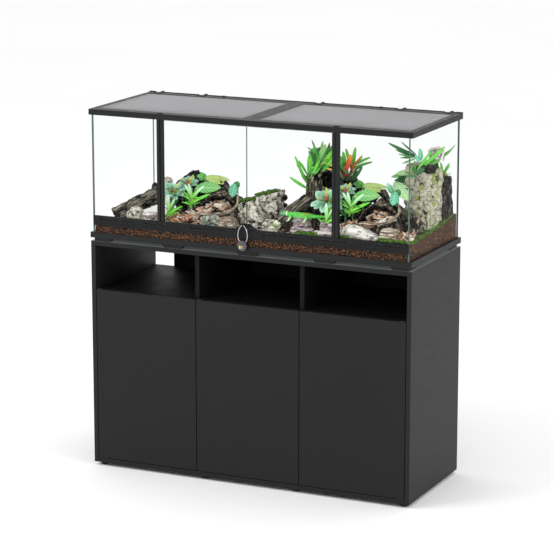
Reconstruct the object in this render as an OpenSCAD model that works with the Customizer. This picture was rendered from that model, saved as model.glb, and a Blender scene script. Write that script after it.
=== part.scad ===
// Glass reptile terrarium with a planted scene, standing on its own three-bay cabinet.
// Millimetres. X runs along the front to the right, Y runs to the back, Z is up.
// The origin is on the floor, under the middle of the cabinet.

/* [Cabinet] */
// Width of the cabinet
cabinet_w = 1200; // [900:10:1400]
// Depth of the cabinet
cabinet_d = 450; // [400:5:560]
// Height of the carcass above its feet
cabinet_h = 800; // [700:10:900]
// Thickness of the carcass boards
board_t = 16; // [14:1:19]
// Thickness of the back panel
back_t = 6; // [4:1:8]
// How far the back panel sits in from the rear edges
back_inset = 4; // [0:1:12]
// Inside height of the open niches
niche_h = 155; // [120:5:200]
// Distance between the middles of the two dividers
divider_spacing = 394.6; // [300:0.2:420]
// Width of the cable cut-out in the back of the left niche
cable_cut_w = 80; // [40:5:120]

/* [Cabinet feet] */
// Height of a foot
foot_h = 12; // [8:1:30]
// Diameter of a foot
foot_d = 28; // [20:1:40]
// Middle of the outer feet from the cabinet's sides, front and back
foot_inset = 28; // [20:1:40]
// Distance between the two inner columns of feet
inner_feet_spacing = 352; // [250:2:380]

/* [Cabinet doors] */
// Thickness of a door
door_t = 18; // [16:1:19]
// Gap between two doors
door_gap = 3; // [2:0.5:5]
// How far the gap between two doors lies inward of the divider's middle
door_gap_shift = 2.7; // [1:0.1:4]
// Gap behind the doors, for their bumpers
door_back_gap = 1.3; // [1.2:0.1:2]
// Gap between a door and the side panel next to it
door_side_gap = 2.7; // [2.2:0.1:4]
// Gap under the doors
door_foot_gap = 2; // [1.5:0.5:4]
// How far the doors stop below the niche floor
door_top_gap = 1; // [0.5:0.5:3]
// Distance from a door's outer edge, and from its face, to its pivot
pivot_inset = 5; // [4.5:0.1:5]
// Diameter of a pivot pin
pivot_d = 4; // [3:0.5:4.5]
// Length of a pivot pin above its plate
pivot_l = 8; // [5:1:12]
// Thickness of the lower pivot plate
pivot_plate_t = 1; // [0.8:0.1:1.3]
// Radial running clearance of the pivots
run_gap = 0.05; // [0.03:0.01:0.1]
// Wall of the bush around a pivot
bush_wall = 1; // [0.6:0.1:1.2]

/* [Tank] */
// How far the tank's frames stand out past the cabinet's front and back
frame_overhang = 3; // [0:0.5:6]
// Height from the cabinet's top to the top of the frame
tank_h = 462.5; // [380:0.5:600]
// Thickness of the glass
glass_t = 5; // [4:0.5:8]
// How far the side frames stand out past the glass
side_lip = 10; // [6:0.5:12]
// How far the front and back frames stand out past the glass
front_lip = 3.5; // [2.5:0.5:5]
// Height of the base frame above its feet
base_frame_h = 19.5; // [15:0.5:30]
// Thickness of the flange that the panes stand on
flange_t = 6; // [4:0.5:8]
// Width of the base frame's flange
flange_w = 30; // [25:1:40]
// Height of the frame's feet
frame_foot_h = 12; // [8:1:20]
// Height of the top frame
top_frame_h = 19.8; // [17:0.2:30]

/* [Ventilation rail] */
// Height of the rail's underside above the base frame
rail_rise = 26; // [20:1:50]
// Height of the rail
rail_h = 33; // [26:1:45]
// Depth of the rail from front to back
rail_d = 11.5; // [10:0.5:16]
// Distance from the middle of the tank to the first ventilation slot
slot_start = 63.5; // [62:0.5:90]
// Distance from the last ventilation slot to the end of the rail
slot_end = 28.5; // [20:0.5:60]
// Height of a ventilation slot
slot_h = 3; // [2:0.5:5]
// Width of the bar between two slots
slot_bar = 27; // [18:1:40]

/* [Glass doors] */
// Distance between the middles of the two door pivots
door_pivots = 640.8; // [500:0.2:700]
// Thickness of the hinge strip on each door
strip_d = 10.4; // [8:0.2:11]
// Width of a front post
post_w = 10.8; // [8:0.2:20]
// Gap where the two doors meet
glass_gap = 1.5; // [1:0.5:4]
// Gap under and over the glass doors
glass_end_gap = 1; // [0.5:0.1:2]
// Width of both lock tabs together
tab_w = 74; // [60:1:90]
// Height of the lock tabs
tab_h = 19; // [14:1:26]

/* [Lids] */
// Width of the top frame's rear rail
rear_rail_w = 43; // [38:1:60]
// Width of the top frame's front rail
front_rail_w = 15; // [12:1:20]
// Width of the top frame's side rails
side_rail_w = 9; // [7:1:9]
// Width of the bar between the lids
centre_bar_w = 40; // [24:1:60]
// Thickness of the ledge that the lids lie on
ledge_t = 6; // [4:0.5:8]
// Width of the ledge
ledge_w = 16; // [12:1:20]
// Width of a lid's border
lid_border = 12; // [9:0.5:18]
// Width of the lid's front border, which the catch turns over
lid_front_border = 22; // [18:0.5:30]
// Distance between the wires of the lid's mesh
mesh_pitch = 30; // [20:1:40]
// Width of the mesh's wires
mesh_wire = 3; // [1.2:0.2:4]
// Length of a lid catch from its pivot to its tip
catch_reach = 17; // [14:0.5:20]

/* [Cable inlets] */
// Width and depth of a cable inlet
inlet_w = 13; // [8:1:14]
// Travel of a cable gate
gate_travel = 16; // [15:0.5:17]
// Width of a cable gate
gate_w = 15; // [14:0.5:15.5]
// Thickness of a cable gate
gate_t = 1.6; // [1.2:0.1:2]
// Height of the ridge along the rear edge
ridge_h = 1.8; // [1:0.2:2.4]

/* [Padlock] */
// Diameter of the padlock's round body
lock_d = 35; // [32:1:38]
// Thickness of the body
lock_t = 13; // [12:0.5:14]
// Thickness of the shackle's wire
wire_d = 3.5; // [3:0.1:3.8]
// Half the widest distance between the middles of the shackle's two sides
belly = 17.5; // [16:0.5:20]
// Distance between the shackle's legs at the body
leg_spacing = 23; // [22:0.5:24]
// Diameter of a number wheel
dial_d = 13.8; // [12:0.2:14]
// Width of a number wheel
dial_w = 5; // [4:0.2:5.4]
// Distance between neighbouring number wheels
dial_pitch = 7.4; // [6.8:0.1:7.4]

/* [Planted scene] */
// Depth of soil over the floor pane at the front
soil_depth = 58; // [40:1:66]
// How much the soil rises to the back on the right
soil_rise = 33; // [0:1:60]
// How much lower the bare ground on the left lies
left_drop = 20; // [0:1:30]
// Height of the tallest piece over the soil
scene_h = 287; // [240:1:300]

/* [Hidden] */
$fn = 48;
eps = 0.01;

// Colours
ink = "#323334";
charcoal = "#3b3c3d";
niche_black = "#18191a";
steel = "#b8bcc0";
clear_glass = "#bcd2cc";
bark = "#7a6c58";
ash = "#8f8a7c";
earth = "#4a3226";
leaf_green = "#5fae3c";

// Cabinet levels and edges
side_x = cabinet_w / 2 - board_t;
front_y = -cabinet_d / 2;
door_back = front_y + door_t;
carcass_y = door_back + door_back_gap;
back_y = cabinet_d / 2 - back_inset - back_t;
base_top = foot_h + board_t;
table_z = foot_h + cabinet_h;
roof_z = table_z - board_t;
shelf_z = roof_z - niche_h;
shelf_under = shelf_z - board_t;
door_z0 = base_top + door_foot_gap;
door_z1 = shelf_z - door_top_gap;
door_split = divider_spacing / 2 - door_gap_shift;
divider_x = divider_spacing / 2;
foot_y = cabinet_d / 2 - foot_inset - 1;
pivot_r = pivot_d / 2;
bore_r = pivot_r + run_gap;
bush_r = bore_r + bush_wall;
bore_depth = pivot_l + 1;
seat_gap = 0.3;

// Door edges, from left to right, and the side that each door is hung on
left_edges = [-side_x + door_side_gap, -door_split - door_gap / 2];
middle_edges = [-door_split + door_gap / 2, door_split - door_gap / 2];
right_edges = [door_split + door_gap / 2, side_x - door_side_gap];

// Tank levels and planes
frame_x = cabinet_w / 2;
frame_y = cabinet_d / 2 + frame_overhang;
glass_x = frame_x - side_lip;
glass_y = frame_y - front_lip;
in_x = glass_x - glass_t;
in_y = glass_y - glass_t;
frame_z = table_z + frame_foot_h;
pane_z = frame_z + flange_t;
floor_z = pane_z + glass_t;
sill_z = frame_z + base_frame_h;
rail_z = sill_z + rail_rise;
rail_top = rail_z + rail_h;
rail_back = -frame_y + rail_d;
top_z = table_z + tank_h;
cap_z = top_z - top_frame_h;
ring_t = 6.5;
ring_z = top_z - ring_t;
ledge_z = ring_z - ledge_t;
door_mid_y = -glass_y + glass_t / 2;
pivot_x = door_pivots / 2;
strip_r = strip_d / 2;
post_x = pivot_x + strip_r + 0.6;
glass_pivot_r = 2;
glass_pivot_l = 5;
slot_z = rail_top - 12.5;
slot_l = (glass_x - slot_start - slot_end - 2 * slot_bar) / 3;
slot_pitch = slot_l + slot_bar;
slot_x0 = slot_start + slot_l / 2;

// Lids
lid_gap = 0.4;
lid_x0 = centre_bar_w / 2 + lid_gap;
lid_x1 = frame_x - side_rail_w - lid_gap;
lid_y0 = -frame_y + front_rail_w + lid_gap;
lid_y1 = frame_y - rear_rail_w - lid_gap;
lid_t = ring_t - 0.4;
lid_z = ring_z + 0.2;
lid_r = lid_t / 2;
lid_axis_y = lid_y1 - lid_r;
lid_axis_z = lid_z + lid_r;
lid_pin_r = 1.5;
lid_pin_l = 4;
lid_mid = (lid_x0 + lid_x1) / 2;
mesh_t = 0.8;
mesh_seat = 4;
mesh_z = lid_z + lid_t - mesh_t;
catch_y = -frame_y + front_rail_w / 2;
catch_r = 4;
catch_lift = 0.4;
catch_t = 1.8;
catch_pin_r = 1.8;
catch_pin_l = 5;

// Cable gates: the middle of each gate's thumb nub
gate_x = [-frame_x + 49, -frame_x + 222, 0.13 * frame_x, frame_x - 215, frame_x - 41];
gate_front = frame_y - 40;
inlet_y = frame_y - 16 - inlet_w;
gate_gap = 0.2;

// Padlock
lock_x = -9;
lock_y = -frame_y - 9;
lug_t = 3;
lug_hole_r = wire_d / 2 + 0.45;
loop_top = rail_top + 17.7;
lock_z = rail_top - 54;
lock_back = lock_y + lock_t / 2;
lock_front = lock_y - lock_t / 2;
dial_y = lock_y - 1.6;
dial_z = lock_z - 5.5;
dial_gap = 0.3;
axle_r = 1.4;

// ---------------------------------------------------------------- helpers

// A box from its low corner to its high corner
module block(a, b) {
    translate(a) cube([b[0] - a[0], b[1] - a[1], b[2] - a[2]]);
}

// Copies a child to the left and to the right
module both_sides() {
    children();
    mirror([1, 0, 0]) children();
}

function unit(v) = v / norm(v);
function smooth(t) = let (c = min(1, max(0, t))) c * c * (3 - 2 * c);
function spow(v, p) = sign(v) * pow(abs(v), p);

// Joins a list of rings, each with the same number of points, into one closed skin
module skin(rings) {
    n = len(rings[0]);
    m = len(rings);
    mid = function (r) [for (k = [0:2]) [for (p = r) p[k]] * [for (p = r) 1 / len(r)]];
    points = concat([for (r = rings) each r], [mid(rings[0]), mid(rings[m - 1])]);
    faces = concat(
        [for (i = [0:m - 2]) for (k = [0:n - 1]) each let (
            a = i * n + k, b = i * n + (k + 1) % n, c = b + n, d = a + n) [[a, c, b], [a, d, c]]],
        [for (k = [0:n - 1]) [m * n, k, (k + 1) % n]],
        [for (k = [0:n - 1]) [m * n + 1, (m - 1) * n + (k + 1) % n, (m - 1) * n + k]]);
    polyhedron(points = points, faces = faces);
}

// The slow unevenness of stone and bark, between about -1 and 1
function rough_at(a, b, seed) = 0.6 * sin(2 * a + 47 * seed) * cos(3 * b + 31 * seed)
    + 0.4 * sin(5 * a + 91 * seed) * sin(4 * b + 13 * seed);

// An uneven boulder; power below 1 makes it squarer
module boulder(at, size, seed = 1, rough = 0.1, power = 0.8, sides = 10, rings = 5) {
    skin([for (i = [0:rings]) let (b = -84 + 168 * i / rings, c = spow(cos(b), power))
        [for (k = [0:sides - 1]) let (a = 360 * k / sides, g = 1 + rough * rough_at(a, b, seed))
            at + [size[0] / 2 * c * spow(cos(a), power) * g, size[1] / 2 * c * spow(sin(a), power) * g,
                size[2] / 2 * spow(sin(b), power) * (1 + 0.4 * rough * rough_at(b, a, seed))]]]);
}

// A limb that follows a path; each radius may be a pair, across and through it
module limb(path, radii, sides = 10, flat = 1, seed = 0, rough = 0) {
    m = len(path);
    skin([for (i = [0:m - 1]) let (
        t = unit(path[min(i + 1, m - 1)] - path[max(i - 1, 0)]),
        r = unit(cross(t, abs(t[2]) > 0.9 ? [0, 1, 0] : [0, 0, 1])), u = cross(t, r),
        across = is_list(radii[i]) ? radii[i][0] : radii[i],
        through = is_list(radii[i]) ? radii[i][1] : flat * radii[i])
        [for (k = [0:sides - 1]) let (a = 360 * k / sides, g = 1 + rough * rough_at(a, 60 * i, seed))
            path[i] + r * across * g * cos(a) + u * through * g * sin(a)]]);
}

// A rosette of arching leaves round a crown that tapers down to its root, as one skin
module rosette(at, root, count, length, width, lift, droop, seed = 0) {
    crown_r = 7;
    crown_h = 5;
    steps = 3;
    thick = 0.8;
    rim = [for (z = [-crown_h, crown_h], k = [0:count - 1]) let (a = 360 * k / count + 40 * seed)
        at + [crown_r * cos(a), crown_r * sin(a), z]];
    blades = [for (k = [0:count - 1], i = [1:steps]) let (
        a = 360 * (k + 0.5) / count + 40 * seed, rise = lift + 14 * sin(97 * k + 50 * seed),
        long = length * (1 - 0.16 * sin(61 * k + 90 * seed)), s = i / steps,
        out = [cos(a), sin(a), 0], side = [-sin(a), cos(a), 0],
        c = at + out * (crown_r - 1 + long * s * cos(rise)) + [0, 0, long * (s * sin(rise) - droop * s * s)],
        w = width / 2 * (i == steps ? 0.12 : 1.1 - 0.35 * s))
        each [c - side * w - [0, 0, thick], c + side * w - [0, 0, thick], c + side * w + [0, 0, thick],
            c - side * w + [0, 0, thick]]];
    n = count;
    tube = function (a, b) [for (j = [0:3]) let (k = (j + 1) % 4) each [[a[j], b[j], b[k]], [a[j], b[k], a[k]]]];
    faces = [for (k = [0:n - 1]) let (next = (k + 1) % n, o = 2 * n + 4 * steps * k,
        foot = [k, next, n + next, n + k],
        ring = function (i) [o + 4 * i, o + 4 * i + 1, o + 4 * i + 2, o + 4 * i + 3],
        last = ring(steps - 1))
        each concat(tube(foot, ring(0)), [for (i = [0:steps - 2]) each tube(ring(i), ring(i + 1))],
            [[last[0], last[3], last[2]], [last[0], last[2], last[1]]],
            [[2 * n + 4 * steps * n, k, next], [2 * n + 4 * steps * n + 1, n + next, n + k]])];
    polyhedron(points = concat(rim, blades, [root, at + [0, 0, crown_h + 3]]), faces = faces);
}

// How far the soil at a place in the scene lies above the soil at the front
function rise(x, y) = soil_rise * smooth((x + 330) / 600) * pow(max(0, (y + scene_y) / (2 * scene_y)), 2.1)
    - left_drop * (1 - smooth((x + scene_x - 110) / 120));

// The scene is laid out on the soil of a tank 1170 by 439 inside, and fitted to this one
scene_x = 585;
scene_y = 219.5;
scene_fit = [in_x / scene_x, in_y / scene_y, scene_h / 287];
module scene() {
    translate([0, 0, floor_z + soil_depth]) scale(scene_fit) children();
}
function from_left(d, y, z) = [d - scene_x, y, z + 9.5];
function from_right(d, y, z) = [scene_x - d, y, z + 9.5];
function from_middle(x, y, z) = [x, y, z + 9.5];

// ---------------------------------------------------------------- cabinet

module cabinet_base() {
    color(charcoal) block([-cabinet_w / 2, front_y, foot_h], [cabinet_w / 2, -front_y, base_top]);
}

module cabinet_top() {
    color(charcoal) block([-cabinet_w / 2, front_y, roof_z], [cabinet_w / 2, -front_y, table_z]);
}

module cabinet_sides() {
    color(charcoal) both_sides() block([side_x, front_y, base_top], [cabinet_w / 2, -front_y, roof_z]);
}

module cabinet_dividers() {
    color(niche_black) both_sides()
        block([divider_x - board_t / 2, carcass_y, base_top], [divider_x + board_t / 2, back_y, roof_z]);
}

module niche_shelves() {
    in_edge = divider_x - board_t / 2;
    out_edge = divider_x + board_t / 2;
    color(niche_black) {
        block([-in_edge, carcass_y, shelf_under], [in_edge, back_y, shelf_z]);
        both_sides() block([out_edge, carcass_y, shelf_under], [side_x, back_y, shelf_z]);
    }
}

module cabinet_back() {
    color(niche_black) difference() {
        block([-side_x, back_y, base_top], [side_x, back_y + back_t, roof_z]);
        block([-side_x - eps, back_y - 1, shelf_z], [-side_x + cable_cut_w, back_y + back_t + 1, roof_z + 1]);
    }
}

module cabinet_feet() {
    columns = [-cabinet_w / 2 + foot_inset - 1, -inner_feet_spacing / 2, inner_feet_spacing / 2,
        cabinet_w / 2 - foot_inset + 1];
    color(ink) for (x = columns, y = [-foot_y, 0, foot_y])
        translate([x, y, 0]) {
            cylinder(d = foot_d, h = foot_h - 3);
            translate([0, 0, foot_h - 3]) cylinder(d = foot_d - 6, h = 3);
        }
}

// ---------------------------------------------------------------- cabinet doors

// Runs its children at a door's pivot, turned so that +X points into the door
module at_pivot(edges, hung_left) {
    translate([hung_left ? edges[0] + pivot_inset : edges[1] - pivot_inset, front_y + pivot_inset, 0])
        mirror([hung_left ? 0 : 1, 0, 0]) children();
}

module cabinet_door(edges, hung_left) {
    color(charcoal) difference() {
        block([edges[0], front_y, door_z0], [edges[1], door_back, door_z1]);
        at_pivot(edges, hung_left) {
            translate([0, 0, door_z0 - 1]) cylinder(r = bush_r, h = bore_depth + 1);
            translate([0, 0, door_z1 - bore_depth]) cylinder(r = bush_r, h = bore_depth + 1);
        }
    }
}

// Bushes in a door's two pivot bores, and the plate that its magnet holds
module door_fittings(edges, hung_left) {
    color(steel) {
        at_pivot(edges, hung_left) for (z = [door_z0, door_z1 - bore_depth])
            translate([0, 0, z]) difference() {
                cylinder(r = bush_r, h = bore_depth);
                translate([0, 0, -1]) cylinder(r = bore_r, h = bore_depth + 2);
            }
        free = hung_left ? edges[1] - 60 : edges[0] + 60;
        block([free - 16, door_back, shelf_under - 20], [free + 16, door_back + 1, shelf_under - 4]);
    }
}

module left_cabinet_door() cabinet_door(left_edges, true);
module middle_cabinet_door() cabinet_door(middle_edges, true);
module right_cabinet_door() cabinet_door(right_edges, false);
module left_door_fittings() door_fittings(left_edges, true);
module middle_door_fittings() door_fittings(middle_edges, true);
module right_door_fittings() door_fittings(right_edges, false);

// The lower plate lies on the base board; the upper one on the niche floor reaches over the door
module pivot_pair(edges, hung_left) {
    pad = pivot_inset - 0.6;
    at_pivot(edges, hung_left) {
        translate([0, 0, base_top]) linear_extrude(pivot_plate_t) {
            circle(pad);
            translate([0, -pad]) square([26, 2 * pad]);
        }
        translate([0, 0, base_top]) cylinder(r = pivot_r, h = door_foot_gap + pivot_l);
        translate([0, 0, shelf_z]) linear_extrude(1.5) {
            circle(pad);
            translate([0, -pad]) square([18, 2 * pad]);
            translate([6, -pad]) square([12, door_t + 18]);
        }
        translate([0, 0, shelf_z - door_top_gap - pivot_l]) cylinder(r = pivot_r, h = pivot_l + door_top_gap + 1);
    }
}

module pivot_plates() {
    color(steel) {
        pivot_pair(left_edges, true);
        pivot_pair(middle_edges, true);
        pivot_pair(right_edges, false);
    }
}

module magnet_catches() {
    color(steel) for (x = [left_edges[1] - 60, middle_edges[1] - 60, right_edges[0] + 60])
        difference() {
            block([x - 20, door_back + 1 + seat_gap, shelf_under - 22], [x + 20, door_back + 16, shelf_under]);
            block([x - 21, door_back, shelf_under - 13], [x + 21, door_back + 3, shelf_under - 11]);
        }
}

// ---------------------------------------------------------------- tank

// A foot of the base frame along X, wide at the top; its left and right ends slant by lean
module frame_foot(x0, x1, lean = [9, 9]) {
    rotate([90, 0, 0]) linear_extrude(flange_w - 7, center = true)
        polygon([[x0, frame_foot_h], [x0 + lean[0], 0], [x1 - lean[1], 0], [x1, frame_foot_h]]);
}

module tank_base_frame() {
    inset = 13;
    row_y = frame_y - 6 - (flange_w - 7) / 2;
    color(ink) {
        difference() {
            block([-frame_x, -frame_y, frame_z], [frame_x, frame_y, sill_z]);
            block([-glass_x, -glass_y, pane_z], [glass_x, glass_y, sill_z + 1]);
            block([-frame_x + flange_w, -frame_y + flange_w, frame_z - 1],
                [frame_x - flange_w, frame_y - flange_w, sill_z + 1]);
        }
        for (y = [-row_y, row_y]) {
            for (x = [-284, 0, 284]) translate([x, y, table_z]) frame_foot(-42, 42);
            both_sides() translate([frame_x - inset, y, table_z]) frame_foot(-67, 0, [9, 0]);
        }
        both_sides() for (y = [-1, 1])
            translate([frame_x - inset - (flange_w - 7) / 2, y * row_y, table_z]) rotate([0, 0, -90 * y])
                frame_foot(0, 68, [0, 9]);
    }
}

module floor_pane() {
    color(clear_glass, 0.4) block([-in_x, -in_y, pane_z], [in_x, in_y, floor_z]);
}

module back_pane() {
    color(clear_glass, 0.4) block([-in_x, in_y, pane_z], [in_x, glass_y, ledge_z]);
}

module side_panes() {
    color(clear_glass, 0.4) both_sides() block([in_x, -glass_y, pane_z], [glass_x, glass_y, ledge_z]);
}

module lower_front_pane() {
    color(clear_glass, 0.4) block([-in_x, -glass_y, pane_z], [in_x, -in_y, rail_z]);
}

module front_lights() {
    color(clear_glass, 0.4) both_sides()
        block([post_x + post_w, -glass_y, rail_top], [in_x, -in_y, ledge_z]);
}

module vent_rail() {
    proud = 1;
    color(ink) difference() {
        union() {
            block([-in_x + 0.2, -frame_y, rail_z], [in_x - 0.2, rail_back, rail_top]);
            both_sides() block([in_x - 1, -frame_y, rail_z], [glass_x - 2, -glass_y - 0.2, rail_top]);
            block([-60, -frame_y - proud, rail_z + 2], [60, -frame_y + 1, rail_top - 4]);
        }
        for (side = [-1, 1], i = [0:2]) translate([side * (slot_x0 + slot_pitch * i), 0, slot_z]) {
            block([-slot_l / 2, -frame_y - 3, 0], [slot_l / 2, rail_back + 1, slot_h]);
            for (k = [-1, 0, 1])
                block([k * (slot_l / 2 - 10) - 2.5, -frame_y - 3, 0], [k * (slot_l / 2 - 10) + 2.5, rail_back + 1, slot_h + 2]);
        }
        for (side = [-1, 1])
            block([side * 350 - 200, -frame_y - 1, rail_z + 9], [side * 350 + 200, -frame_y + 0.8, rail_z + 10.2]);
        for (side = [-1, 1]) translate([side * pivot_x, door_mid_y, rail_top - glass_pivot_l - 1])
            cylinder(r = glass_pivot_r + run_gap, h = glass_pivot_l + 2);
    }
}

module vent_mesh() {
    end = slot_x0 + 2 * slot_pitch + slot_l / 2 + 4;
    color(steel) block([-end, rail_back, slot_z - 4], [end, rail_back + 0.5, slot_z + slot_h + 6]);
}

module front_posts() {
    color(ink) both_sides()
        block([post_x, -frame_y, rail_top], [post_x + post_w, -frame_y + 16, cap_z]);
}

// The openings under both lids, drawn in all round by the same margin
module lid_windows(margin, z0, z1) {
    both_sides() block([centre_bar_w / 2 + min(margin, 4), -frame_y + front_rail_w + margin, z0],
        [frame_x - side_rail_w - margin, frame_y - rear_rail_w - margin, z1]);
}

// The ledges inside the openings, which the lids lie on
module lid_ledges() {
    color(ink) difference() {
        lid_windows(0, ledge_z, ring_z);
        lid_windows(ledge_w, ledge_z - 1, ring_z + 1);
    }
}

module top_frame() {
    header = post_x + post_w;
    color(ink) difference() {
        union() {
            difference() {
                block([-frame_x, -frame_y, cap_z], [frame_x, frame_y, top_z]);
                block([-glass_x, -glass_y, cap_z - 1], [glass_x, glass_y, ledge_z]);
                lid_windows(0, cap_z, top_z + 1);
            }
            block([-header, -glass_y - 1, cap_z], [header, -frame_y + front_rail_w, ledge_z + 1]);
            rear_ridge();
            both_sides() block([frame_x - 24, frame_y - 7, top_z - 1], [frame_x, frame_y, top_z + ridge_h + 1]);
            both_sides() translate([lid_mid - 8, frame_y - 12, top_z - 1]) cube([9, 9, 4.5]);
        }
        for (side = [-1, 1]) translate([side * pivot_x, door_mid_y, cap_z - 1])
            cylinder(r = glass_pivot_r + run_gap, h = glass_pivot_l + 2);
        for (side = [-1, 1]) {
            translate([side * (lid_x0 - lid_pin_l - 1), lid_axis_y, lid_axis_z]) rotate([0, 90 * side, 0])
                cylinder(r = lid_pin_r + run_gap, h = lid_x1 - lid_x0 + 2 * lid_pin_l + 2);
            translate([side * pivot_x, catch_y, top_z - catch_pin_l - 0.5])
                cylinder(r = catch_pin_r + run_gap, h = catch_pin_l + 1);
        }
        for (x = gate_x)
            block([x - gate_travel - inlet_w / 2, inlet_y, ledge_z - 1], [x - gate_travel + inlet_w / 2, inlet_y + inlet_w, top_z + 1]);
    }
}

// A low ridge along the rear edge, broken where the gates slide
module rear_ridge() {
    difference() {
        block([-frame_x + 24, frame_y - 5, top_z - 1], [frame_x - 24, frame_y, top_z + ridge_h]);
        for (x = gate_x) block([x - gate_travel - gate_w / 2 - 1, frame_y - 6, top_z],
            [x + gate_w / 2 + 1, frame_y + 1, top_z + ridge_h + 1]);
    }
}

// A gate slides along the rear edge; its thumb nub stands up and out behind
module cable_gate(x) {
    color(ink) translate([x, 0, 0]) {
        block([-gate_w / 2, inlet_y - 2, top_z + gate_gap], [gate_w / 2, frame_y + gate_gap + gate_t, top_z + gate_gap + gate_t]);
        block([-gate_w / 2, frame_y + gate_gap, top_z - 8], [gate_w / 2, frame_y + gate_gap + gate_t, top_z + gate_gap + 1]);
        translate([0, frame_y + 8, 0]) rotate([90, 0, 0]) linear_extrude(13)
            polygon([[-gate_w / 2 + 1, top_z + gate_gap], [gate_w / 2 - 1, top_z + gate_gap], [2, top_z + 4], [-2, top_z + 4]]);
    }
}
module cable_gate_1() cable_gate(gate_x[0]);
module cable_gate_2() cable_gate(gate_x[1]);
module cable_gate_3() cable_gate(gate_x[2]);
module cable_gate_4() cable_gate(gate_x[3]);
module cable_gate_5() cable_gate(gate_x[4]);

// ---------------------------------------------------------------- glass doors

module glass_door() {
    color(clear_glass, 0.4) block([glass_gap / 2, -glass_y, rail_top + glass_end_gap],
        [pivot_x - 2.5, -in_y, cap_z - glass_end_gap - 1]);
}
module right_glass_door() glass_door();
module left_glass_door() mirror([1, 0, 0]) glass_door();

// The strip grips the glass, and turns on a pin at each end
module hinge_strip() {
    z0 = rail_top + glass_end_gap;
    z1 = cap_z - glass_end_gap;
    color(ink) {
        difference() {
            translate([pivot_x, door_mid_y, z0]) linear_extrude(z1 - z0) {
                circle(strip_r);
                translate([-strip_r - 2, -strip_r]) square([strip_r + 2, 2 * strip_r]);
            }
            block([0, -glass_y, z0 - 1], [pivot_x - 2.5, -in_y, z1 + 1]);
        }
        for (z = [z0 - glass_end_gap - glass_pivot_l + 1, z1 - 1]) translate([pivot_x, door_mid_y, z])
            cylinder(r = glass_pivot_r, h = glass_pivot_l + glass_end_gap);
    }
}
module right_hinge_strip() hinge_strip();
module left_hinge_strip() mirror([1, 0, 0]) hinge_strip();

// Half of the lock plate, clipped to a door's lower corner, with a lug for a padlock
module lock_tab() {
    z = rail_top + glass_end_gap + 0.4;
    face = -glass_y;
    lug_x = abs(lock_x);
    color(ink) difference() {
        union() {
            translate([0, face, z]) rotate([90, 0, 0]) linear_extrude(5)
                polygon([[glass_gap / 2, 0], [tab_w / 2, 0], [tab_w / 2, 4], [12, tab_h], [glass_gap / 2, tab_h]]);
            block([lug_x - lug_t / 2, lock_y - 4.4, z + 8], [lug_x + lug_t / 2, face - 4, z + tab_h + 1.5]);
        }
        translate([0, lock_y, loop_top - wire_d / 2]) rotate([0, 90, 0]) cylinder(r = lug_hole_r, h = 60);
    }
}
module right_lock_tab() lock_tab();
module left_lock_tab() mirror([1, 0, 0]) lock_tab();

// ---------------------------------------------------------------- lids

module lid_frame() {
    color(ink) {
        difference() {
            union() {
                block([lid_x0, lid_y0, lid_z], [lid_x1, lid_axis_y, lid_z + lid_t]);
                translate([lid_x0, lid_axis_y, lid_axis_z]) rotate([0, 90, 0]) cylinder(r = lid_r, h = lid_x1 - lid_x0);
                translate([lid_x0 - lid_pin_l, lid_axis_y, lid_axis_z]) rotate([0, 90, 0])
                    cylinder(r = lid_pin_r, h = lid_x1 - lid_x0 + 2 * lid_pin_l);
            }
            block([lid_x0 + lid_border + mesh_seat, lid_y0 + lid_front_border + mesh_seat, lid_z - 1],
                [lid_x1 - lid_border - mesh_seat, lid_y1 - lid_border - mesh_seat, lid_z + lid_t + 1]);
            block([lid_x0 + lid_border, lid_y0 + lid_front_border, mesh_z],
                [lid_x1 - lid_border, lid_y1 - lid_border, lid_z + lid_t + 1]);
        }
    }
}
module right_lid_frame() lid_frame();
module left_lid_frame() mirror([1, 0, 0]) lid_frame();

// Welded wire mesh, let into the lid flush with its top
module lid_mesh() {
    x0 = lid_x0 + lid_border + 0.1;
    x1 = lid_x1 - lid_border - 0.1;
    y0 = lid_y0 + lid_front_border + 0.1;
    y1 = lid_y1 - lid_border - 0.1;
    rim = mesh_seat + 0.6;
    nx = round((x1 - x0 - 2 * rim) / mesh_pitch);
    ny = round((y1 - y0 - 2 * rim) / mesh_pitch);
    px = (x1 - x0 - 2 * rim + mesh_wire) / nx;
    py = (y1 - y0 - 2 * rim + mesh_wire) / ny;
    corners = [for (i = [0:nx - 1], j = [0:ny - 1]) let (x = x0 + rim + px * i, y = y0 + rim + py * j)
        each [[x, y], [x + px - mesh_wire, y], [x + px - mesh_wire, y + py - mesh_wire], [x, y + py - mesh_wire]]];
    color(steel) translate([0, 0, mesh_z]) linear_extrude(mesh_t)
        polygon(points = concat([[x0, y0], [x1, y0], [x1, y1], [x0, y1]], corners),
            paths = concat([[0, 1, 2, 3]], [for (k = [1:nx * ny]) [4 * k, 4 * k + 1, 4 * k + 2, 4 * k + 3]]));
}
module right_lid_mesh() lid_mesh();
module left_lid_mesh() mirror([1, 0, 0]) lid_mesh();

// A turn button on the front rail: its hub sits on a pin, and its tapered tongue swings over the lid
module lid_catch() {
    color(ink) translate([pivot_x, catch_y, top_z]) {
        translate([0, 0, -catch_pin_l]) cylinder(r = catch_pin_r, h = catch_pin_l + 1);
        cylinder(r = catch_r - 0.4, h = catch_lift + 0.5);
        translate([0, 0, catch_lift]) linear_extrude(catch_t) hull() {
            circle(catch_r);
            translate([catch_reach - 2.2, 0]) circle(2.2);
        }
        translate([0, 0, catch_lift + catch_t - 0.2]) hull() {
            cylinder(r1 = 2.6, r2 = 2, h = 1.6);
            translate([catch_reach - 4, 0, 0]) cylinder(r1 = 1.2, r2 = 0.8, h = 0.8);
        }
    }
}
module right_lid_catch() lid_catch();
module left_lid_catch() mirror([1, 0, 0]) lid_catch();

// ---------------------------------------------------------------- padlock

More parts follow.
